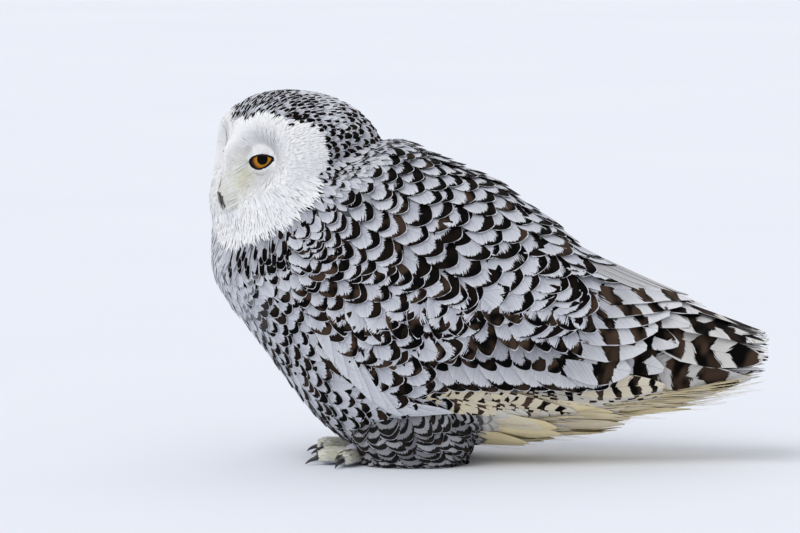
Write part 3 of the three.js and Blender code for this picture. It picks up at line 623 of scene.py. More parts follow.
def tract(side, low, high, span, columns, step, length, section, lift, rng, slant=const(0.0),
          jitter=0.2):
    """Middle lines of feathers set in staggered columns between two lines round the body.
    step, length and slant are functions of the station, slant being how far a feather turns
    sideways. lift is the height at root, middle and tip."""
    t = PLACES[section]
    lines, normals, places = [], [], []
    for j in range(columns):
        share = (j + 0.5) / columns
        s = np.linspace(span[0], min(LAST_STATION, span[1] + 4), 240)
        turn = low(s) + share * (high(s) - low(s))
        run = run_along(body_point(s, turn))
        reach = np.interp(span[1], s, run)
        at = (j % 2) * 0.5 * step(span[0])
        while at < reach:
            root = np.interp(at, run, s)
            here = at + jitter * step(root) * rng.uniform(-1, 1)
            long = length(root) * (1 + 0.12 * rng.uniform(-1, 1))
            path = np.interp(here + t * long, run, s)
            on_line = np.interp(path, s, turn)
            mm_a_degree = np.linalg.norm(
                body_point(path, on_line + 1) - body_point(path, on_line), axis=-1)
            swing = (slant(root) + 0.16 * rng.uniform(-1, 1)) * t * long / mm_a_degree
            shift = jitter * step(root) * rng.uniform(-1, 1) / mm_a_degree
            turned = side * (on_line + swing + shift)
            raised = np.interp(t, LIFT_AT, lift) + 0.5 * rng.uniform(-1, 1)
            up = body_normal(path, turned)
            lines.append(body_point(path, turned) + up * raised[:, None])
            normals.append(up)
            places.append((root, turned[0]))
            at += step(root)
    return np.array(lines), np.array(normals), np.array(places)


# Degrees round the body that the unwrapped trunk's map spans: the breast's columns overlap below.
MAP_TURN = 400


def body_uv(places):
    """Where feathers' roots lie on the unwrapped trunk."""
    along = places[:, 0] / LAST_STATION
    return np.stack([0.02 + 0.96 * along, 0.5 + places[:, 1] / MAP_TURN], axis=-1)


def both_sides(name, seed, width, colouring, section, thick, camber, tilt=0.0, patch=0.013,
               **how):
    """One mesh of a tract on the left and the same tract, drawn anew, on the right."""
    rng = np.random.default_rng(seed)
    halves = [tract(side, section=section, rng=rng, **how) for side in (1, -1)]
    line, normal, places = (np.concatenate(parts) for parts in zip(*halves))
    tips = line[:, -1]
    return vanes(name, line, normal, width(places[:, 0]) * rng.uniform(0.93, 1.07, len(line)),
                 body_uv(places), colouring(tips, places, rng), section, thick, camber,
                 tilt=tilt * np.sign(places[:, 1]), patch=patch, material=barred_feather, seed=seed)


def breast_look(tips, places, rng):
    """Nearly plain in front, dark streaks below the face, brown-black bars on the flanks."""
    count = len(tips)
    x, z = tips[:, 0], tips[:, 2]
    flank = smooth(-250, -205, x) * smooth(235, 205, z)
    streak = smooth(-248, -215, x) * smooth(190, 210, z)
    shown = rng.random(count) < 0.35 + 0.5 * np.maximum(flank, streak)
    return {"mark": (2.8 + 3.2 * flank + 1.6 * streak + rng.uniform(-0.8, 1.8, count),
                     rng.uniform(15, 20, count), 2),
            "tint": (shown * (0.5 + 0.5 * flank + 0.5 * streak).clip(0, 1),
                     rng.uniform(0, 0.6, count) * flank, 0),
            "shade": (0.4 + 0.3 * flank + 0.6 * streak, 0.05 + 0.3 * streak, 0)}


def belly_look(tips, places, rng):
    """Close narrow bars in front, paling to cream towards the tail."""
    count = len(tips)
    rear = smooth(-10, 30, tips[:, 0])
    return {"mark": (rng.uniform(3, 5, count), rng.uniform(10, 12, count), 2),
            "tint": (1 - rear, rng.uniform(0, 0.5, count), 0.05 + 0.3 * rear),
            "shade": (0.95, 0.5 * (1 - rear), 0)}


# A mark's peak stands this far towards the covered side, as a share of the half width.
COVERED = 0.6


def shoulder_look(tips, places, rng):
    """Bold saw-toothed marks, tallest on the side that the next feather covers, larger towards
    the rear, some of them browner."""
    count = len(tips)
    tall = 6.8 + 4.8 * smooth(-190, 20, tips[:, 0]) + rng.uniform(-2.5, 3.5, count)
    return {"mark": (tall, tall + rng.uniform(13, 18, count), 2),
            "tint": (1, np.where(rng.random(count) < 0.2, 0.7, 0.1), 0),
            "shade": (1.1, 0, -COVERED * np.sign(places[:, 1]))}


breast = both_sides(
    "breast_feathers", 3, line_at([(1.5, 17), (3, 24)]), breast_look, "plain", 0.5, 0.1,
    low=lambda s: wing_low(s) - 5, high=const(193), span=(1.1, 6.4), columns=11,
    step=line_at([(1.5, 10), (3, 14)]), length=line_at([(1.5, 30), (3, 38)]),
    lift=(-4, 0.5, 2.4), jitter=0.27,
    slant=line_at([(1.5, -0.3), (3, -0.7), (4.5, -0.7), (6.4, -0.2)]))
belly = both_sides(
    "belly_feathers", 5, const(22), belly_look, "plain", 0.5, 0.1,
    low=lambda s: wing_low(s) - 3, high=const(184), span=(6.2, 9.9), columns=7, step=const(10),
    length=const(38), lift=(-4, 0.5, 2.6))
shoulder = both_sides(
    "shoulder_feathers", 7, line_at([(1.4, 19), (2.2, 29), (3, 34), (6, 39)]), shoulder_look,
    "broad", 0.6, 0.08, tilt=0.09, patch=0.02, low=const(0), high=shoulder_low,
    span=(1.3, 8.2), columns=9, step=line_at([(1.4, 9), (2.2, 15), (7, 25)]),
    length=line_at([(1.4, 22), (2.2, 38), (7, 64)]), lift=(-4, 2.2, 4.8), jitter=0.27)
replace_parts(shoulder, "scapulars_left", "scapulars_right")


# ---- folded wings -----------------------------------------------------------------------------
# Small coverts over the forearm, then two rows of greater coverts, the secondaries, the primaries
# with their coverts, and the long innermost feathers. The flight feathers are stiff vanes.


def along(keys, q):
    """A place at a share of the way along evenly spaced keys."""
    at = np.linspace(0, 1, len(keys))
    return np.array([np.interp(q, at, values) for values in zip(*keys)])


def row_look(row, side, rng):
    """One feather's mark, tint and shade, varied a little from its row's."""
    tall, pitch, bars, dark, brown, cream = row["look"]
    return [tall * rng.uniform(0.8, 1.2), pitch * rng.uniform(0.88, 1.12), bars,
            dark * (rng.random() < row.get("shown", 1)), min(1, brown * rng.uniform(0.2, 1.7)),
            cream * rng.uniform(0.6, 1.4), row.get("slim", 0.97), row.get("smoke", 0),
            -row.get("lean", 0) * side]


def blades(name, rows, section, seed, thick=0.7, camber=0.08, ragged=0.05, patch=0.012):
    """One mesh of long feathers on both sides. Each row has a number of feathers, the station and
    degrees of their roots and tips from the first to the last, lift, width and tilt. Its look
    is height and spacing of the marks, their number, and shares of marked, brown and cream."""
    rng = np.random.default_rng(seed)
    t = PLACES[section]
    lines, normals, places, widths, tilts, looks = [], [], [], [], [], []
    for side in (1, -1):
        for row in rows:
            for q in np.linspace(0, 1, row["count"]):
                root, tip = along(row["root"], q), along(row["tip"], q)
                tip += rng.uniform(-1, 1, 2) * row.get("scatter", (0.05, 0.8))
                lift = np.array(row["lift"], float) + row.get("climb", 0) * q
                lift[-1] += rng.uniform(-0.3, 1) * row.get("curl", 0)
                s = root[0] + (tip[0] - root[0]) * t
                turn = side * (root[1] + (tip[1] - root[1]) * t
                               + row.get("bow", 0) * np.sin(np.pi * t))
                up = body_normal(s, turn)
                lines.append(body_point(s, turn)
                             + up * np.interp(t, LIFT_AT, lift)[:, None])
                normals.append(up)
                places.append((s[0], turn[0]))
                widths.append(row["width"] * rng.uniform(0.95, 1.05))
                tilts.append(side * (row["tilt"] + rng.uniform(-0.02, 0.02)))
                looks.append(row_look(row, side, rng))
    looks = np.array(looks)
    return vanes(name, np.array(lines), np.array(normals), np.array(widths),
                 body_uv(np.array(places)),
                 {"mark": looks[:, :3].T, "tint": looks[:, 3:6].T, "shade": looks[:, 6:].T},
                 section, thick, camber, tilt=np.array(tilts), patch=patch, ragged=ragged,
                 material=barred_feather, seed=seed)


def covert_look(tips, places, rng):
    """Marks as on the shoulders, more of them brown."""
    count = len(tips)
    tall = rng.uniform(8, 13, count) * smooth(0.5, 2.6, places[:, 0])
    return {"mark": (tall, 1.9 * tall + rng.uniform(3, 8, count), 2),
            "tint": (1, np.where(rng.random(count) < 0.4, 0.8, 0.2), 0),
            "shade": (1.1, 0, -COVERED * np.sign(places[:, 1]))}


coverts = both_sides(
    "wing_coverts", 11, line_at([(1.5, 17), (2.6, 23), (4, 27)]), covert_look, "broad", 0.6,
    0.08, tilt=0.09, patch=0.011, low=lambda s: shoulder_low(s) - 11,
    high=lambda s: wing_low(s) - 3, span=(1.4, 5.6), columns=6,
    step=line_at([(1.5, 9), (2.6, 14), (4, 17)]),
    length=line_at([(1.5, 24), (2.6, 36), (4, 44)]), lift=(-3, 3.2, 5.0), slant=const(-0.12),
    jitter=0.27)
FLIGHT_ROWS = [
    # Primaries, creamy along the wing's lower edge.
    dict(count=9, root=((8.0, 122), (9.1, 106)), tip=((11.4, 136), (11.4, 112)),
     lift=(-5, -0.6, -0.2), climb=3.0, width=24, tilt=0.05,
     look=(8, 19, 9, 1, 0.9, 0.5)),
    dict(count=7, root=((5.0, 112), (7.0, 108)), tip=((7.4, 122), (9.8, 130)),
     lift=(-5, 0.4, 0.8), climb=1, width=25, tilt=0.05,
     look=(8, 18, 7, 1, 0.9, 0.6)),
    # Secondaries and two rows of greater coverts.
    dict(count=17, root=((3.4, 120), (5.2, 96), (6.9, 88), (8.9, 86)),
     tip=((4.75, 128), (6.4, 113), (8.1, 110), (10.3, 109)),
     lift=(-4, 1.0, 2.0), climb=0.8, width=26, tilt=0.15,
     look=(10, 32, 2, 1, 0.5, 0.05), lean=0.25),
    dict(count=15, root=((3.3, 110), (5.1, 86), (7.2, 72), (9.3, 70)),
     tip=((4.45, 122), (6.1, 102), (8.0, 90), (10.1, 88)),
     lift=(-5, 2.2, 3.8), width=26, tilt=0.14, look=(16, 34, 2, 1, 0.7, 0.0),
     lean=0.6),
    dict(count=14, root=((3.1, 102), (4.6, 78), (6.8, 63), (8.9, 58)),
     tip=((4.25, 114), (5.6, 93), (7.6, 80), (9.7, 74)),
     lift=(-5, 3.2, 4.8), width=27, tilt=0.14, look=(16, 34, 2, 1, 0.6, 0.0),
     lean=0.6),
    # Long innermost feathers that roof the wing.
    dict(count=6, root=((8.6, 92), (8.8, 60)), tip=((10.7, 97), (11.7, 16)),
     lift=(-5, 4.0, 5.2), climb=1.0, width=42, tilt=0.12, bow=-3,
     look=(20, 35, 4, 1, 0.8, 0.05), lean=0.3),
    # White feathers along the bend of the wing.
    dict(count=9, root=((2.7, 112), (4.9, 117)), tip=((4.5, 126), (7.2, 124)),
     lift=(-3, 4.2, 5.6), width=15, tilt=-0.03, look=(1, 60, 0, 0, 0, 0)),
]
flight = blades("flight_feathers", FLIGHT_ROWS, "broad", 13)
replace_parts(flight, "wing_left", "wing_right")


# ---- tail -----------------------------------------------------------------------------------
# Stiff tail feathers in layers roofed over one another, with shorter coverts over their roots and
# long loose cream-white coverts below.
TAIL_ROWS = [
    dict(count=7, root=((9.6, 104), (9.8, 84), (9.9, 62), (9.9, 36), (9.9, 10)),
     tip=((11.4, 160), (12.1, 150), (12.75, 126), (13.0, 66), (12.95, 9)),
     lift=(-13, -6, -1.5), climb=2, width=40, tilt=0.12,
     look=(23, 35, 5, 1, 0.7, 0.2), lean=0.2, curl=2, smoke=0.15),
    dict(count=6, root=((8.9, 84), (9.0, 12)), tip=((11.2, 118), (12.0, 10)),
     lift=(-9, -3, 0), climb=2, width=38, tilt=0.1,
     look=(20, 32, 4, 1, 0.6, 0.08), lean=0.2, curl=1, smoke=0.1),
    dict(count=5, root=((8.0, 40), (8.0, 4)), tip=((10.4, 36), (10.7, 3)),
     lift=(-6, 0, 2.5), climb=1, width=22, tilt=0.05,
     look=(3, 20, 2, 1, 0.4, 0.0), shown=0.4),
    dict(count=4, root=((8.3, 24), (8.3, 4)), tip=((11.2, 27), (11.6, 4)),
     lift=(-3, 5.5, 4.5), width=17, tilt=0.06, look=(1.5, 60, 1, 1, 0, 0.1),
     smoke=0.3),
    dict(count=9, root=((10.2, 120), (10.2, 8)), tip=((12.6, 150), (13.05, 8)),
     lift=(-14, -13, -9), climb=1, width=34, tilt=0.1, scatter=(0.1, 4),
     look=(15, 30, 5, 1, 0.7, 0.12), curl=2),
    dict(count=7, root=((10.4, 110), (10.4, 8)), tip=((12.7, 130), (12.95, 8)),
     lift=(-17, -18, -17), climb=1, width=32, tilt=0.1, scatter=(0.1, 6),
     look=(15, 30, 5, 1, 0.7, 0.12), curl=3),
]
tail = blades("tail_feathers", TAIL_ROWS, "broad", 17, ragged=0.13, patch=0.02)
PLAIN_CREAM = (1, 60, 0, 0, 0, 1.0)
UNDERTAIL_ROWS = [
    dict(count=11, root=((7.0, 178), (7.4, 128)), tip=((9.2, 176), (9.3, 138)),
     lift=(-6, 1, 4), climb=1, width=26, tilt=-0.03, scatter=(0.3, 7),
     curl=8, look=PLAIN_CREAM),
    dict(count=11, root=((8.2, 177), (8.7, 124)), tip=((10.5, 175), (10.6, 132)),
     lift=(-7, 0, 3), climb=1, width=28, tilt=-0.05, scatter=(0.35, 8),
     curl=8, look=PLAIN_CREAM),
    dict(count=10, root=((9.4, 176), (9.9, 116)), tip=((11.8, 174), (11.7, 126)),
     lift=(-8, -1, 0), width=30, tilt=-0.05, scatter=(0.4, 8),
     curl=7, look=PLAIN_CREAM),
    dict(count=6, root=((10.4, 172), (10.6, 100)), tip=((12.7, 172), (12.5, 95)),
     lift=(-12, -10, -12), width=28, tilt=-0.05, scatter=(0.2, 6),
     curl=5, look=PLAIN_CREAM),
    dict(count=7, root=((10.8, 176), (10.8, 100)), tip=((12.85, 176), (12.85, 100)),
     lift=(-16, -18, -18), width=30, tilt=-0.05, scatter=(0.15, 8),
     curl=6, look=PLAIN_CREAM),
]
undertail = blades("undertail_feathers", UNDERTAIL_ROWS, "broad", 19, thick=0.5,
                   camber=0.2, ragged=0.16)

# Loose barbs fray from the tail's end and the lower edge of the soft feathers.
WISP_ROWS = [
    dict(count=26, root=((12.3, 130), (12.5, 8)), tip=((12.95, 134), (13.35, 8)),
     lift=(-4, -3, -2), climb=1, width=2.4, tilt=0, scatter=(0.1, 5),
     curl=2, look=(8, 14, 6, 1, 0.3, 0.15), slim=1.2, shown=0.35),
    dict(count=150, root=((7.2, 138), (11.6, 126)), tip=((8.8, 148), (12.8, 124)),
     lift=(-2, 1, 4), climb=-1, width=1.3, tilt=0, scatter=(0.4, 14),
     curl=8, look=PLAIN_CREAM),
    dict(count=90, root=((7.2, 160), (11.6, 150)), tip=((8.8, 166), (12.8, 150)),
     lift=(-2, 1, 4), climb=-1, width=1.3, tilt=0, scatter=(0.4, 14),
     curl=8, look=PLAIN_CREAM),
]
wisps = blades("loose_barbs", WISP_ROWS, "fine", 21, thick=0.4, camber=0, patch=BARB_PATCH)
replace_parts(tail, "tail")


# ---- head plumage -----------------------------------------------------------------------------
# Short close feathers, spotted on crown and nape, and a plain white face of fine loose barbs that
# spread from each eye. Each is rooted in the head's skin and shingled away from the bill.

# Edge of the white face: angle round the head's forward axis (0 above, 180 below), and angle
# away from that axis.
FACE_EDGE = [(0, 34), (20, 36), (28, 47), (40, 53), (50, 58), (54, 74), (64, 77), (80, 79),
             (98, 76), (107, 70), (114, 65), (124, 58), (139, 50), (157, 46), (180, 46)]
face_edge = line_at(FACE_EDGE)


def sphere_points(gap, radius):
    """Evenly spread directions, a given gap apart at a given radius."""
    count = int(4 * math.pi * radius ** 2 / gap ** 2)
    k = np.arange(count) + 0.5
    up = 1 - 2 * k / count
    turn = k * math.pi * (3 - math.sqrt(5))
    flat = np.sqrt(1 - up * up)
    return np.stack([flat * np.cos(turn), flat * np.sin(turn), up], axis=-1)


def from_front(way):
    """Angle away from the head's forward axis and angle round it, in degrees."""
    return (np.degrees(np.arccos(np.clip(way[..., 0], -1, 1))),
            np.degrees(np.arctan2(np.abs(way[..., 1]), way[..., 2])))


def beyond_neck(points, s):
    """How far points lie past the plane across the body line at a station, towards the tail."""
    x, z, lean = station(np.array(float(s)))[:3]
    lean = math.radians(lean)
    return ((points[..., 0] - x) * math.cos(lean) - (points[..., 2] - z) * math.sin(lean))


def over_head(way, flow, length, lift, section, rng):
    """Middle lines over the head's form from directions way, setting off along flow."""
    t = PLACES[section]
    flow = unit(flow - way * np.sum(flow * way, axis=-1, keepdims=True))
    swing = (length / head_radius(way))[:, None] * t
    path = way[:, None] * np.cos(swing)[..., None] + flow[:, None] * np.sin(swing)[..., None]
    up = head_normal(path)
    raised = np.interp(t, LIFT_AT, lift) + 0.3 * rng.uniform(-1, 1, (len(way), 1)) * t
    return eye_dish(head_point(path)) + up * raised[..., None], up


def head_uv(way):
    """Where feathers' roots lie on the unwrapped head."""
    turn = np.arctan2(way[:, 1], -way[:, 0]) / (2 * math.pi)
    return np.stack([0.5 + 0.96 * turn, 0.5 + 0.96 * np.arcsin(way[:, 2]) / math.pi], axis=-1)


def scalp(name, gap, spacing, length, seed, chosen, look):
    """Short feathers in rings round the head's forward axis, where chosen picks them. gap is the
    way from ring to ring and spacing that between neighbours."""
    rng = np.random.default_rng(seed)
    rings = []
    for ring, theta in enumerate(np.arange(30, 176, math.degrees(gap / HEAD["half"]))):
        circle = 2 * math.pi * HEAD["half"] * math.sin(math.radians(theta))
        count = int(circle / spacing) + 1
        turn = (np.arange(count) + 0.5 * (ring % 2) + rng.uniform(-0.2, 0.2, count)) / count
        rings.append(np.stack([theta + rng.uniform(-1, 1, count), 360 * turn], axis=-1))
    theta, turn = np.radians(np.concatenate(rings)).T
    way = np.stack([np.cos(theta), np.sin(theta) * np.sin(turn), np.sin(theta) * np.cos(turn)],
                   axis=-1)
    theta, phi = from_front(way)
    kept = ((theta > face_edge(phi) - 2) & (beyond_neck(head_point(way), 0.2) < 10)
            & chosen(theta, phi))
    way, theta, phi = way[kept], theta[kept], phi[kept]
    count = len(way)
    flow = way - np.array([1.0, 0, 0]) + rng.normal(0, 0.06, way.shape)
    line, normal = over_head(way, flow, length * rng.uniform(0.9, 1.15, count),
                             (-2.5, 0.4, 1.8), "fine", rng)
    return vanes(name, line, normal, spacing * rng.uniform(1.15, 1.45, count), head_uv(way),
                 look(theta, phi, rng), "fine", 0.4, 0.1, patch=0.01,
                 material=barred_feather, seed=seed)


UNBROKEN = 60.0                # a mark's spacing where a feather has only one


def crown_look(theta, phi, rng):
    """Dense black dashes in front, thin sparse ones on top behind, and a black patch above the
    face."""
    count = len(theta)
    front = smooth(100, 82, theta)
    dark = np.exp(-((theta - 67) / 7) ** 2 - ((phi - 47) / 7) ** 2) > 0.4
    shown = (rng.random(count) < 0.55 + 0.42 * front) | dark
    return {"mark": (5.2 + 1.8 * front + 3 * dark + rng.uniform(-1.4, 1.6, count), UNBROKEN, 1),
            "tint": (shown * 1.0, rng.uniform(0, 0.2, count), 0),
            "shade": (rng.uniform(0.28, 0.42, count) + 0.26 * front + 0.5 * dark, 0, 0)}


def nape_look(theta, phi, rng):
    """Bold round spots on the hind head, clouded grey ones behind the face."""
    count = len(theta)
    cloud = 1 - smooth(62, 76, phi) * smooth(104, 114, theta)
    top = smooth(26, 40, phi)
    shown = rng.random(count) < 0.9 - 0.35 * (1 - top)
    return {"mark": (4.5 + 1.5 * top + rng.uniform(-1, 1.5, count), UNBROKEN, 1),
            "tint": (shown * 1.0, rng.uniform(0, 0.3, count), 0),
            "shade": (rng.uniform(0.35, 0.5, count) + 0.3 * top,
                      0.4 * smooth(60, 78, phi) * smooth(0.2, 0.8, cloud), 0)}


crown = scalp("crown_feathers", 9.4, 5.3, 18.0, 23,
              lambda theta, phi: (theta < 106) & (phi < 58), crown_look)
nape = scalp("nape_feathers", 9.2, 7.6, 20.0, 24,
             lambda theta, phi: (theta > 100) | (phi > 54), nape_look)

# Face barbs: fine loose white filaments with no locked vane, dull and very soft.
FACE_WHITE, FACE_SHADE, LORE_YELLOW = "#f3f3f3", "#ebeced", "#c4c09a"
face_barb, tree, shader = new_material("face_barb", roughness=0.9, specular=0.1)
# Towards its root each barb greys to a painted shade, for where the barbs above it cover it.
depth = node(tree, "MapRange", stored(tree, "vane")[1], 2.0, 11.0)
white = node(tree, "Mix", depth, linear(FACE_WHITE), linear(FACE_SHADE), **COLOURS)
warm = node(tree, "Mix", stored(tree, "tint")[2], white, linear(LORE_YELLOW), **COLOURS)
tree.links.new(warm.outputs[2], shader.inputs["Base Color"])


def nearest_eye(way):
    """Direction of the eye on a direction's own side of the head, and that side."""
    side = np.where(way[:, 1] >= 0, 1.0, -1.0)
    return unit(np.array([EYE["forward"], EYE["left"], EYE["up"]])
                * np.stack([side * side, side, side * side], axis=-1)), side


# Barbs grow all over the face but for the openings between the lids and the strip that the bill
# fills. They spread from the nearer eye, and near the middle line they run straight up or down.
FACE_GAP = 1.5
BILL_STRIP = {"half": 6, "top": -16, "foot": -40}
rng = np.random.default_rng(29)
way = sphere_points(FACE_GAP, 72)
theta, phi = from_front(way)
outer = head_point(way)
kept = (theta < face_edge(phi) + 3) & (
    (beyond_neck(outer, 0.5) < 4) | ((phi > 145) & (theta < 66)))
for side in (1, -1):
    ahead, aside, up = to_eye(side, outer)
    kept &= ~((from_opening(aside, up, margin=0.6) < 1) & (ahead > 0))
inside = way * head_radius(way)[:, None]
kept &= ~((np.abs(inside[:, 1]) < BILL_STRIP["half"]) & (inside[:, 2] < BILL_STRIP["top"])
          & (inside[:, 2] > BILL_STRIP["foot"]))
way, inside = way[kept], inside[kept]
eye_way, eye_side = nearest_eye(way)
distance = np.degrees(np.arccos(np.clip(np.sum(way * eye_way, axis=-1), -1, 1)))
middle = np.exp(-(inside[:, 1] / 9) ** 2)[:, None]
rise = np.array([0, 0, 0.6]) * np.where(inside[:, 2] > -15, 1, -1)[:, None]
flow = unit(way - eye_way) * (1 - middle) + middle * rise
flow = flow + rng.normal(0, 0.07, way.shape)
length = (np.interp(distance, [10, 25, 45, 70], [5, 10, 15, 18])
          * rng.uniform(0.8, 1.2, len(way)))
line, normal = over_head(way, flow, length, (-1.0, 0.6, 1.2), "fine", rng)
# The lores, between eye and bill, are yellowish.
lore = np.exp(-((inside[:, 2] + 2) / 16) ** 2 - ((np.abs(inside[:, 1]) - 20) / 9) ** 2)
width = rng.uniform(1.3, 2.0, len(way))
for side, side_name in ((1, "left"), (-1, "right")):
    own = eye_side == side
    face = vanes(
        f"face_feathers_{side_name}", line[own], normal[own], width[own], head_uv(way[own]),
        {"tint": (0, 0, 0.6 * lore[own])},
        "fine", 0.35, 0.1, ragged=0.15, material=face_barb, seed=29 + side)

# The skin shows white between the face's barbs.
way = (points_of(fused) - HEAD_MIDDLE) @ HEAD_AXES.T
theta, phi = from_front(unit(way))
pale = smooth(6, 0, theta - face_edge(phi)) * (np.linalg.norm(way, axis=-1) < 110)
fused.attributes.new("pale", "FLOAT", "POINT").data.foreach_set("value", pale.astype(np.float32))

# Neck: longer loose feathers that bridge head and shoulders, spotted at the sides, with a white
# collar above the shoulders, dark streaks below the face and a plain throat. The face's white
# barbs run on down over the chin.


def neck_tract(columns, step, length, last, chosen, section, lift, rng, swing=const(0.0)):
    """Middle lines of feathers set in columns over the neck's form, as far as the share that
    last gives for a place round the neck. swing is how many degrees a feather turns sideways."""
    t = PLACES[section]
    lines, normals, places = [], [], []
    for j, (side, turn) in enumerate(columns):
        shares = np.linspace(0, 1.5, 60)
        run = run_along(neck_point(np.full(60, turn), shares))
        at = np.arange(-6 + step * (j % 2) / 2, np.interp(last(turn), shares, run), step)[:, None]
        at = at + step * rng.uniform(-0.2, 0.2, at.shape)
        here = at + t * length * rng.uniform(0.85, 1.15, at.shape)
        place = np.interp(here, run, shares) + np.minimum(here, 0) / run[-1]
        round_it = side * (turn + rng.uniform(-1, 1, at.shape) + t * (
            swing(turn) + 2.5 * rng.uniform(-1, 1, at.shape)))
        up = neck_normal(round_it, place)
        line = (neck_point(round_it, place)
                + up * (np.interp(t, LIFT_AT, lift)
                        + rng.uniform(-0.4, 0.4, at.shape))[..., None])
        theta, phi = from_front(unit((line[:, 0] - HEAD_MIDDLE) @ HEAD_AXES.T))
        kept = chosen(theta - face_edge(phi))
        lines.append(line[kept])
        normals.append(up[kept])
        places.append(np.stack([place[:, 0], round_it[:, 0]], axis=-1)[kept])
    return np.concatenate(lines), np.concatenate(normals), np.concatenate(places)


def neck_look(places, rng):
    """White collar, streaks below the sides of the face, and a nearly plain throat."""
    count = len(places)
    share, turn = places[:, 0], np.abs(places[:, 1])
    collar = smooth(0.2, 0.35, share) * (turn < 80)
    streak = smooth(84, 96, turn) * (1 - smooth(132, 150, turn))
    throat = smooth(136, 152, turn)
    shown = (rng.random(count) < 0.8 - 0.65 * throat) * (1 - collar)
    return {"mark": (rng.uniform(3.5, 5.5, count) + 7 * streak,
                     rng.uniform(10, 13, count) + 30 * streak, 2),
            "tint": (shown * (1 - 0.5 * throat), rng.uniform(0, 0.2, count), 0),
            "shade": (0.75 - 0.15 * streak, 0.15 + 0.25 * streak - 0.1 * throat, 0)}


NECK_ON_MAP = (1.4, 1)         # stations that the neck's whole share spans on the trunk's map
rng = np.random.default_rng(31)
columns = [(side, turn) for side in (1, -1) for turn in np.linspace(2, 179, 48)]
line, normal, places = neck_tract(
    columns, 7.5, 26, line_at([(72, 0.95), (92, 0.9), (110, 1.05)]), lambda past: past > -2,
    "plain", (-4, 0.6, 2.8), rng,
    swing=lambda turn: 11 * smooth(80, 96, turn) * (1 - smooth(140, 165, turn)))
neck = vanes("neck_feathers", line, normal, rng.uniform(7, 10, len(line)),
             body_uv(places * NECK_ON_MAP), neck_look(places, rng), "plain", 0.5, 0.1,
             patch=0.007, ragged=0.1, material=barred_feather, seed=31)
columns = [(side, turn) for side in (1, -1) for turn in np.linspace(75, 179.5, 100)]
line, normal, places = neck_tract(columns, 2.3, 17, const(0.8), lambda past: past < -2, "fine",
                                  (-1, 0.6, 1.3), rng)
chin = vanes("chin_feathers", line, normal, rng.uniform(1.3, 2.0, len(line)),
             body_uv(places * NECK_ON_MAP), {}, "fine", 0.35, 0.1, ragged=0.15,
             material=face_barb, seed=33)


# ---- eyes -------------------------------------------------------------------------------------
# Glassy eyeballs with an amber iris and a round black pupil, in black lid rims. The upper rim is
# heavier and nearly straight.
PUPIL, IRIS = 5.4, 11.8
GAZE = (3.8, 1.6)              # where the pupil sits, away from the bill and up
GAZE_SCALE = 4 * EYE["radius"]  # millimetres that the gaze map spans
IRIS_SPAN = 16.0                # radius at the end of the iris colours
# Eye glass: polished, with fine fibres in the iris, so it takes small sharp glints.
eye_glass, tree, shader = new_material("eye_glass", roughness=0.06, specular=0.08)
gaze = node(tree, "UVMap", uv_map="gaze")
centred = node(tree, "VectorMath", gaze, (0.5, 0.5, 0), operation="SUBTRACT")
radius = node(tree, "MULTIPLY", node(tree, "VectorMath", centred, operation="LENGTH"), GAZE_SCALE)
fibres = node(tree, "MULTIPLY", node(tree, "TexNoise", gaze, 60.0, 3.0), 0.8)
iris = node(tree, "ValToRGB", node(tree, "DIVIDE", node(tree, "ADD", radius, fibres), IRIS_SPAN))
ramp = iris.color_ramp
STOPS = [(PUPIL, "#020101"), (PUPIL + 0.5, "#b37a22"), (8.5, "#a86a1a"), (IRIS - 1.6, "#7c4510"),
         (IRIS, "#2e1404"), (IRIS + 1.4, "#070303")]
while len(ramp.elements) < len(STOPS):
    ramp.elements.new(0.5)
for element, (at, code) in zip(ramp.elements, STOPS):
    element.position, element.color = (at + 0.4) / IRIS_SPAN, linear(code)
tree.links.new(iris.outputs[0], shader.inputs["Base Color"])

# Bare lid skin: black, matt and finely pored, so that the eye looks rimmed.
lid_skin = mottled("lid_skin", "#060505", "#171312", clump=0.8, detail=2.0, roughness=0.6,
                   specular=0.15)[0]

for side, eye_name in ((1, "left"), (-1, "right")):
    polar, turn = np.meshgrid(np.radians(np.linspace(80, 1.5, 26)),
                              np.radians(np.arange(0, 360, 7.5)), indexing="ij")
    aside = EYE["radius"] * np.sin(polar) * np.cos(turn)
    high = EYE["radius"] * np.sin(polar) * np.sin(turn)
    points, quads = loft(from_eye(side, EYE["radius"] * np.cos(polar), aside, high))
    eyeball = outward(piece(f"eyeball_{eye_name}", points, quads, eye_glass))
    unwrap(eyeball, "gaze", 0.5 + (np.stack([aside, high], axis=-1) - GAZE) / GAZE_SCALE)
    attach(eyeball, "root")
    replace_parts(eyeball, f"eye_{eye_name}")

    turn, roll = np.meshgrid(np.radians(np.arange(0, 360, 6)), np.radians(np.arange(0, 360, 36)),
                             indexing="ij")
    thick = 0.5 + 0.3 * smooth(0, 0.8, np.sin(turn))
    band = 0.7 + (0.9 + 0.5 * np.abs(np.cos(turn)) ** 3) * np.cos(roll)
    high = band * np.sin(turn) + (np.sin(turn) * np.sqrt(np.abs(np.sin(turn)))
                                  * np.where(np.sin(turn) > 0, OPENING["upper"],
                                             OPENING["lower"]))
    wide = (OPENING["half"] + band) * np.cos(turn)
    c, s = math.cos(OPENING["rise"]), math.sin(OPENING["rise"])
    aside, up = wide * c - high * s, high * c + wide * s
    ahead = np.sqrt(EYE["radius"] ** 2 - np.minimum(aside ** 2 + up ** 2, 320)) + 0.5
    ring = from_eye(side, ahead + thick * np.sin(roll), aside, up)
    lids = outward(piece(f"eyelids_{eye_name}", *loft(ring, hoop=True), lid_skin))
    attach(lids, "root")


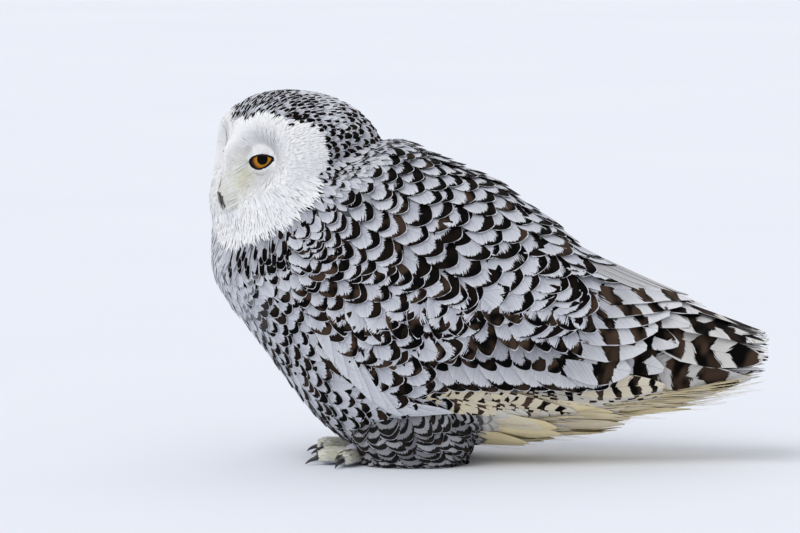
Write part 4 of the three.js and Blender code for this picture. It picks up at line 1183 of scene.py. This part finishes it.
# ---- bill -------------------------------------------------------------------------------------
# Short hooked bill of black horn, nearly buried in white bristle feathers that grow from its base
# and curve forward and down over it.
# Horn of bill and claws: black keratin with a soft shine, cloudy along its growth.
bill_horn, tree, shader, growth, tone = mottled("bill_horn", "#141315", "#3d3b40", clump=3.0,
                                                detail=4.0, roughness=0.38)
bump = node(tree, "Bump", Height=growth, Distance=0.0003, Strength=0.4)
tree.links.new(bump.outputs["Normal"], shader.inputs["Normal"])


def horn(name, keys, places, around=12):
    """A curved horn from keys of forward, up, half width and half depth, then smoothed. places
    turns distances forward, aside and up into points."""
    keys = np.array(keys, float)
    ahead = unit(np.gradient(keys[:, :2], axis=0))
    turn = np.radians(np.arange(0, 360, 360 / around))
    reach = np.sin(turn) * keys[:, 3:4]
    rings = places(keys[:, :1] - ahead[:, 1:] * reach, np.cos(turn) * keys[:, 2:3],
                   keys[:, 1:2] + ahead[:, :1] * reach)
    built = outward(piece(name, *loft(rings), bill_horn))
    rounded = built.modifiers.new("round", "SUBSURF")
    rounded.levels = rounded.render_levels = 2
    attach(built, "root")
    return built


def head_stack(forward, left, up):
    return head_place(np.stack([forward, left, up], axis=-1))


UPPER_BILL = [(56, 0, 6, 7), (66, -8, 6.5, 7.5), (71, -17, 6.5, 7), (72.5, -26, 5.5, 5.5),
              (70.5, -35, 3, 3), (69, -41, 0.7, 0.7)]
LOWER_BILL = [(52, -26, 6.5, 4), (60, -30, 6, 4), (65, -34, 4, 2.8), (67, -37.5, 1.4, 1)]
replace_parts(horn("upper_bill", UPPER_BILL, head_stack), "bill_upper")
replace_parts(horn("lower_bill", LOWER_BILL, head_stack), "bill_lower")

# Bristles root beside the bill, from below the brow to the gape, and sweep forward and down. Those
# that end high lie over the ridge of the bill (CULMEN, forward for each height), the others
# beside it.
BRISTLES = 1100
CULMEN = [(-38, 72.5), (-30, 77), (-20, 79), (-10, 76), (0, 72), (12, 66)]
rng = np.random.default_rng(37)
t = PLACES["plain"][:, None]
root_up = rng.uniform(-30, 16, BRISTLES)
root_left = rng.uniform(6, 21, BRISTLES)
own_side = rng.choice([-1.0, 1.0], BRISTLES)
way = unit(np.stack([np.full(BRISTLES, 64.0), own_side * root_left, root_up], axis=-1))
start = eye_dish(head_point(way)) - 1.2 * head_normal(way)
end_up = np.maximum(root_up - rng.uniform(9, 20, BRISTLES), rng.uniform(-39, -34, BRISTLES))
over = smooth(-25, -17, end_up)
reach = line_at(CULMEN)(end_up) + 2.2 * over - 0.8 * (1 - over)
end_left = own_side * (rng.uniform(3.2, 6.5, BRISTLES) * (1 - over) - 1.2 * over)
end = head_place(np.stack([reach + rng.uniform(-1, 1, BRISTLES), end_left, end_up], axis=-1))
outside = unit(own_side[:, None] * [0, 1, 0] + [0.8, 0, 0.1]) @ HEAD_AXES
bend = (start + end) / 2 + outside * rng.uniform(1.5, 4, BRISTLES)[:, None]
curve = (start[:, None] * (1 - t) ** 2 + bend[:, None] * (2 * t * (1 - t))
         + end[:, None] * t ** 2)
bristles = vanes(
    "bill_bristles", curve, np.repeat(outside[:, None], len(t), axis=1),
    rng.uniform(1.0, 1.6, BRISTLES), head_uv(way), {"tint": (0, 0, rng.uniform(0, 0.45, BRISTLES))},
    "plain", 0.4, 0.1, material=face_barb, seed=37)


# ---- legs and feet ----------------------------------------------------------------------------
# Thighs in loose barred feathers that spread on the ground, toes in short cream-white ones, and
# black claws.
ROWS_FROM, ROWS_TO, ROW_GAP = 64, 14, 8.0      # heights of the thighs' rows of roots
A_ROW = 24                                     # feathers in a row round one thigh
rng = np.random.default_rng(41)
t = PLACES["plain"]
lines, normals, places = [], [], []
for side in (1, -1):
    for row, root_z in enumerate(np.arange(ROWS_FROM, ROWS_TO, -ROW_GAP)):
        for k in np.arange(A_ROW) + 0.5 * (row % 2):
            turn = math.radians(360 / A_ROW * k + rng.uniform(-5, 5))
            z = np.maximum(root_z - t * min(rng.uniform(26, 34), root_z - 1.2), 1.0)
            size = np.interp(z, [0, 7, 28, 60], [0.72, 0.86, 1.0, 0.95])
            lift = np.interp(t, [0, 0.5, 1], [-5, 0.8, 3.0 + rng.uniform(-0.5, 2)])
            sway = turn + t * (rng.uniform(-0.15, 0.15) - 0.4 * math.sin(turn))
            up = unit(np.stack([np.cos(sway) / LEG["long"], np.sin(sway) / LEG["wide"],
                                np.full(len(t), 0.004)], axis=-1))
            lines.append(np.stack([LEG["x"] + LEG["long"] * size * np.cos(sway),
                                   -side * LEG["y"] + LEG["wide"] * size * np.sin(sway),
                                   z], axis=-1) + up * lift[:, None])
            normals.append(up)
            places.append((6 + (ROWS_FROM - root_z) / 20, side * (15 + 6.5 * k)))
count = len(lines)
thighs = vanes(
    "thigh_feathers", np.array(lines), np.array(normals), rng.uniform(20, 28, count),
    body_uv(np.array(places)),
    {"mark": (rng.uniform(4, 6, count), rng.uniform(9.5, 11.5, count), 2),
     "tint": (0.97, rng.uniform(0, 0.3, count), 0.05),
     "shade": (1.1, rng.uniform(0.5, 1.0, count), 0)},
    "plain", 0.5, 0.12, patch=0.013, ragged=0.12, material=barred_feather, seed=41)

# Toe feathers lie along the top and sides of each toe, as far as the base of its claw.
lines, normals, places = [], [], []
t = PLACES["fine"]
for side in (-1, 1):
    for toe, (bearing, reach) in enumerate(TOES):
        ahead, aside = toe_axes(side, bearing)
        for at in np.arange(-8, reach - 3, 3.0):
            for turn in np.radians(np.arange(-15, 196, 21)):
                turn += rng.uniform(-0.15, 0.15)
                up = aside * math.cos(turn) + HEAD_UP * math.sin(turn)
                run = at + t * 9
                size = FOOT["toe"] * np.interp(run / reach, [0, 0.9, 1.15], [1, 0.95, 0.5])
                lines.append(np.array([FOOT["x"], side * FOOT["y"], 7.6]) + ahead * run[:, None]
                             + up * (size + np.interp(t, [0, 1], [-1.6, 0.6]))[:, None])
                normals.append(np.repeat(up[None], len(t), axis=0))
                places.append((7 + toe / 2 + at / 100, side * (100 + math.degrees(turn) / 4)))
count = len(lines)
toe_coat = vanes(
    "toe_feathers", np.array(lines), np.array(normals), rng.uniform(3, 4, count),
    body_uv(np.array(places)), {"tint": (0, 0, rng.uniform(0.3, 0.7, count))},
    "fine", 0.5, 0.1, material=face_barb, seed=43)

# Claws curve down from the end of each toe to the ground.
CLAW = [(-4, 7.2, 2.9, 2.9), (3, 6.8, 2.7, 2.7), (9, 5.2, 2, 2), (13, 2.9, 1.1, 1.1),
        (15, 0.9, 0.35, 0.35)]


def toe_stack(side, bearing, reach, past, out, up):
    """Places past a toe's end, out across it and up from the ground."""
    ahead, aside = toe_axes(side, bearing)
    level = (np.array([FOOT["x"], side * FOOT["y"], 0]) + ahead * (reach + past)[..., None]
             + aside * out[..., None])
    return np.stack([level[..., 0], level[..., 1], up], axis=-1)


for side, side_name in ((-1, "left"), (1, "right")):
    for number, (bearing, reach) in enumerate(TOES, start=1):
        claw = horn(f"toe_claw_{number}_{side_name}", CLAW,
                    partial(toe_stack, side, bearing, reach), around=8)
        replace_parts(claw, f"claw_{number}_{side_name}")


# ---- ground, light and camera ---------------------------------------------------------------
# A pale matt floor under a soft white sky, with a broad lamp high in front on the bird's left and a
# weak one behind it on the right.
FLOOR = 60000                  # its side
FLOOR_CLOUD = 2000 / 3         # width of the faint clouds in its paint
floor_paint = mottled("matt_floor_paint", "#dfe2ea", "#e4e7ee", clump=FLOOR_CLOUD, detail=3.0,
                      roughness=0.9)[0]
floor = piece("floor", np.array([[-1, -1, 0], [1, -1, 0], [1, 1, 0], [-1, 1, 0]]) * FLOOR / 2,
              np.array([[0, 1, 2, 3]]), floor_paint)
floor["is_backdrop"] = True

world = bpy.data.worlds.new("soft_sky")
world.use_nodes = True
world.node_tree.nodes["Background"].inputs["Color"].default_value = linear("#f3f5f9")
world.node_tree.nodes["Background"].inputs["Strength"].default_value = 0.8
bpy.context.scene.world = world

# Each lamp: where it shines from, its softness in degrees, and its strength.
LAMPS = [("key_lamp", (-1.4, -1.2, 2.6), 40, 1.2), ("rim_lamp", (0.8, 1.8, 1.6), 60, 0.3)]
for lamp_name, where, soft, power in LAMPS:
    lamp = bpy.data.objects.new(lamp_name, bpy.data.lights.new(lamp_name, "SUN"))
    lamp.data.angle, lamp.data.energy = math.radians(soft), power
    lamp.rotation_mode = "QUATERNION"
    lamp.rotation_quaternion = Vector(where).to_track_quat("Z", "Y")
    bpy.context.scene.collection.objects.link(lamp)

AIM = np.array([-83.5, 0, 193.5]) * MM
CAMERA_DISTANCE = 6.0          # metres
CAMERA_RISE = math.radians(5.5)
FIELD = 0.8                    # metres of the owl's plane across the picture
FILM = 36                      # width of the camera's film in millimetres
camera = bpy.data.objects.new("camera", bpy.data.cameras.new("camera"))
camera.data.sensor_width = FILM
camera.data.lens = FILM * CAMERA_DISTANCE / FIELD
camera.data.clip_end = 200
camera.location = Vector(AIM) + CAMERA_DISTANCE * Vector(
    (0, -math.cos(CAMERA_RISE), math.sin(CAMERA_RISE)))
camera.rotation_euler = (math.pi / 2 - CAMERA_RISE, 0, 0)
bpy.context.scene.collection.objects.link(camera)
bpy.context.scene.camera = camera
bpy.context.scene.view_settings.view_transform = "Standard"

low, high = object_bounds()
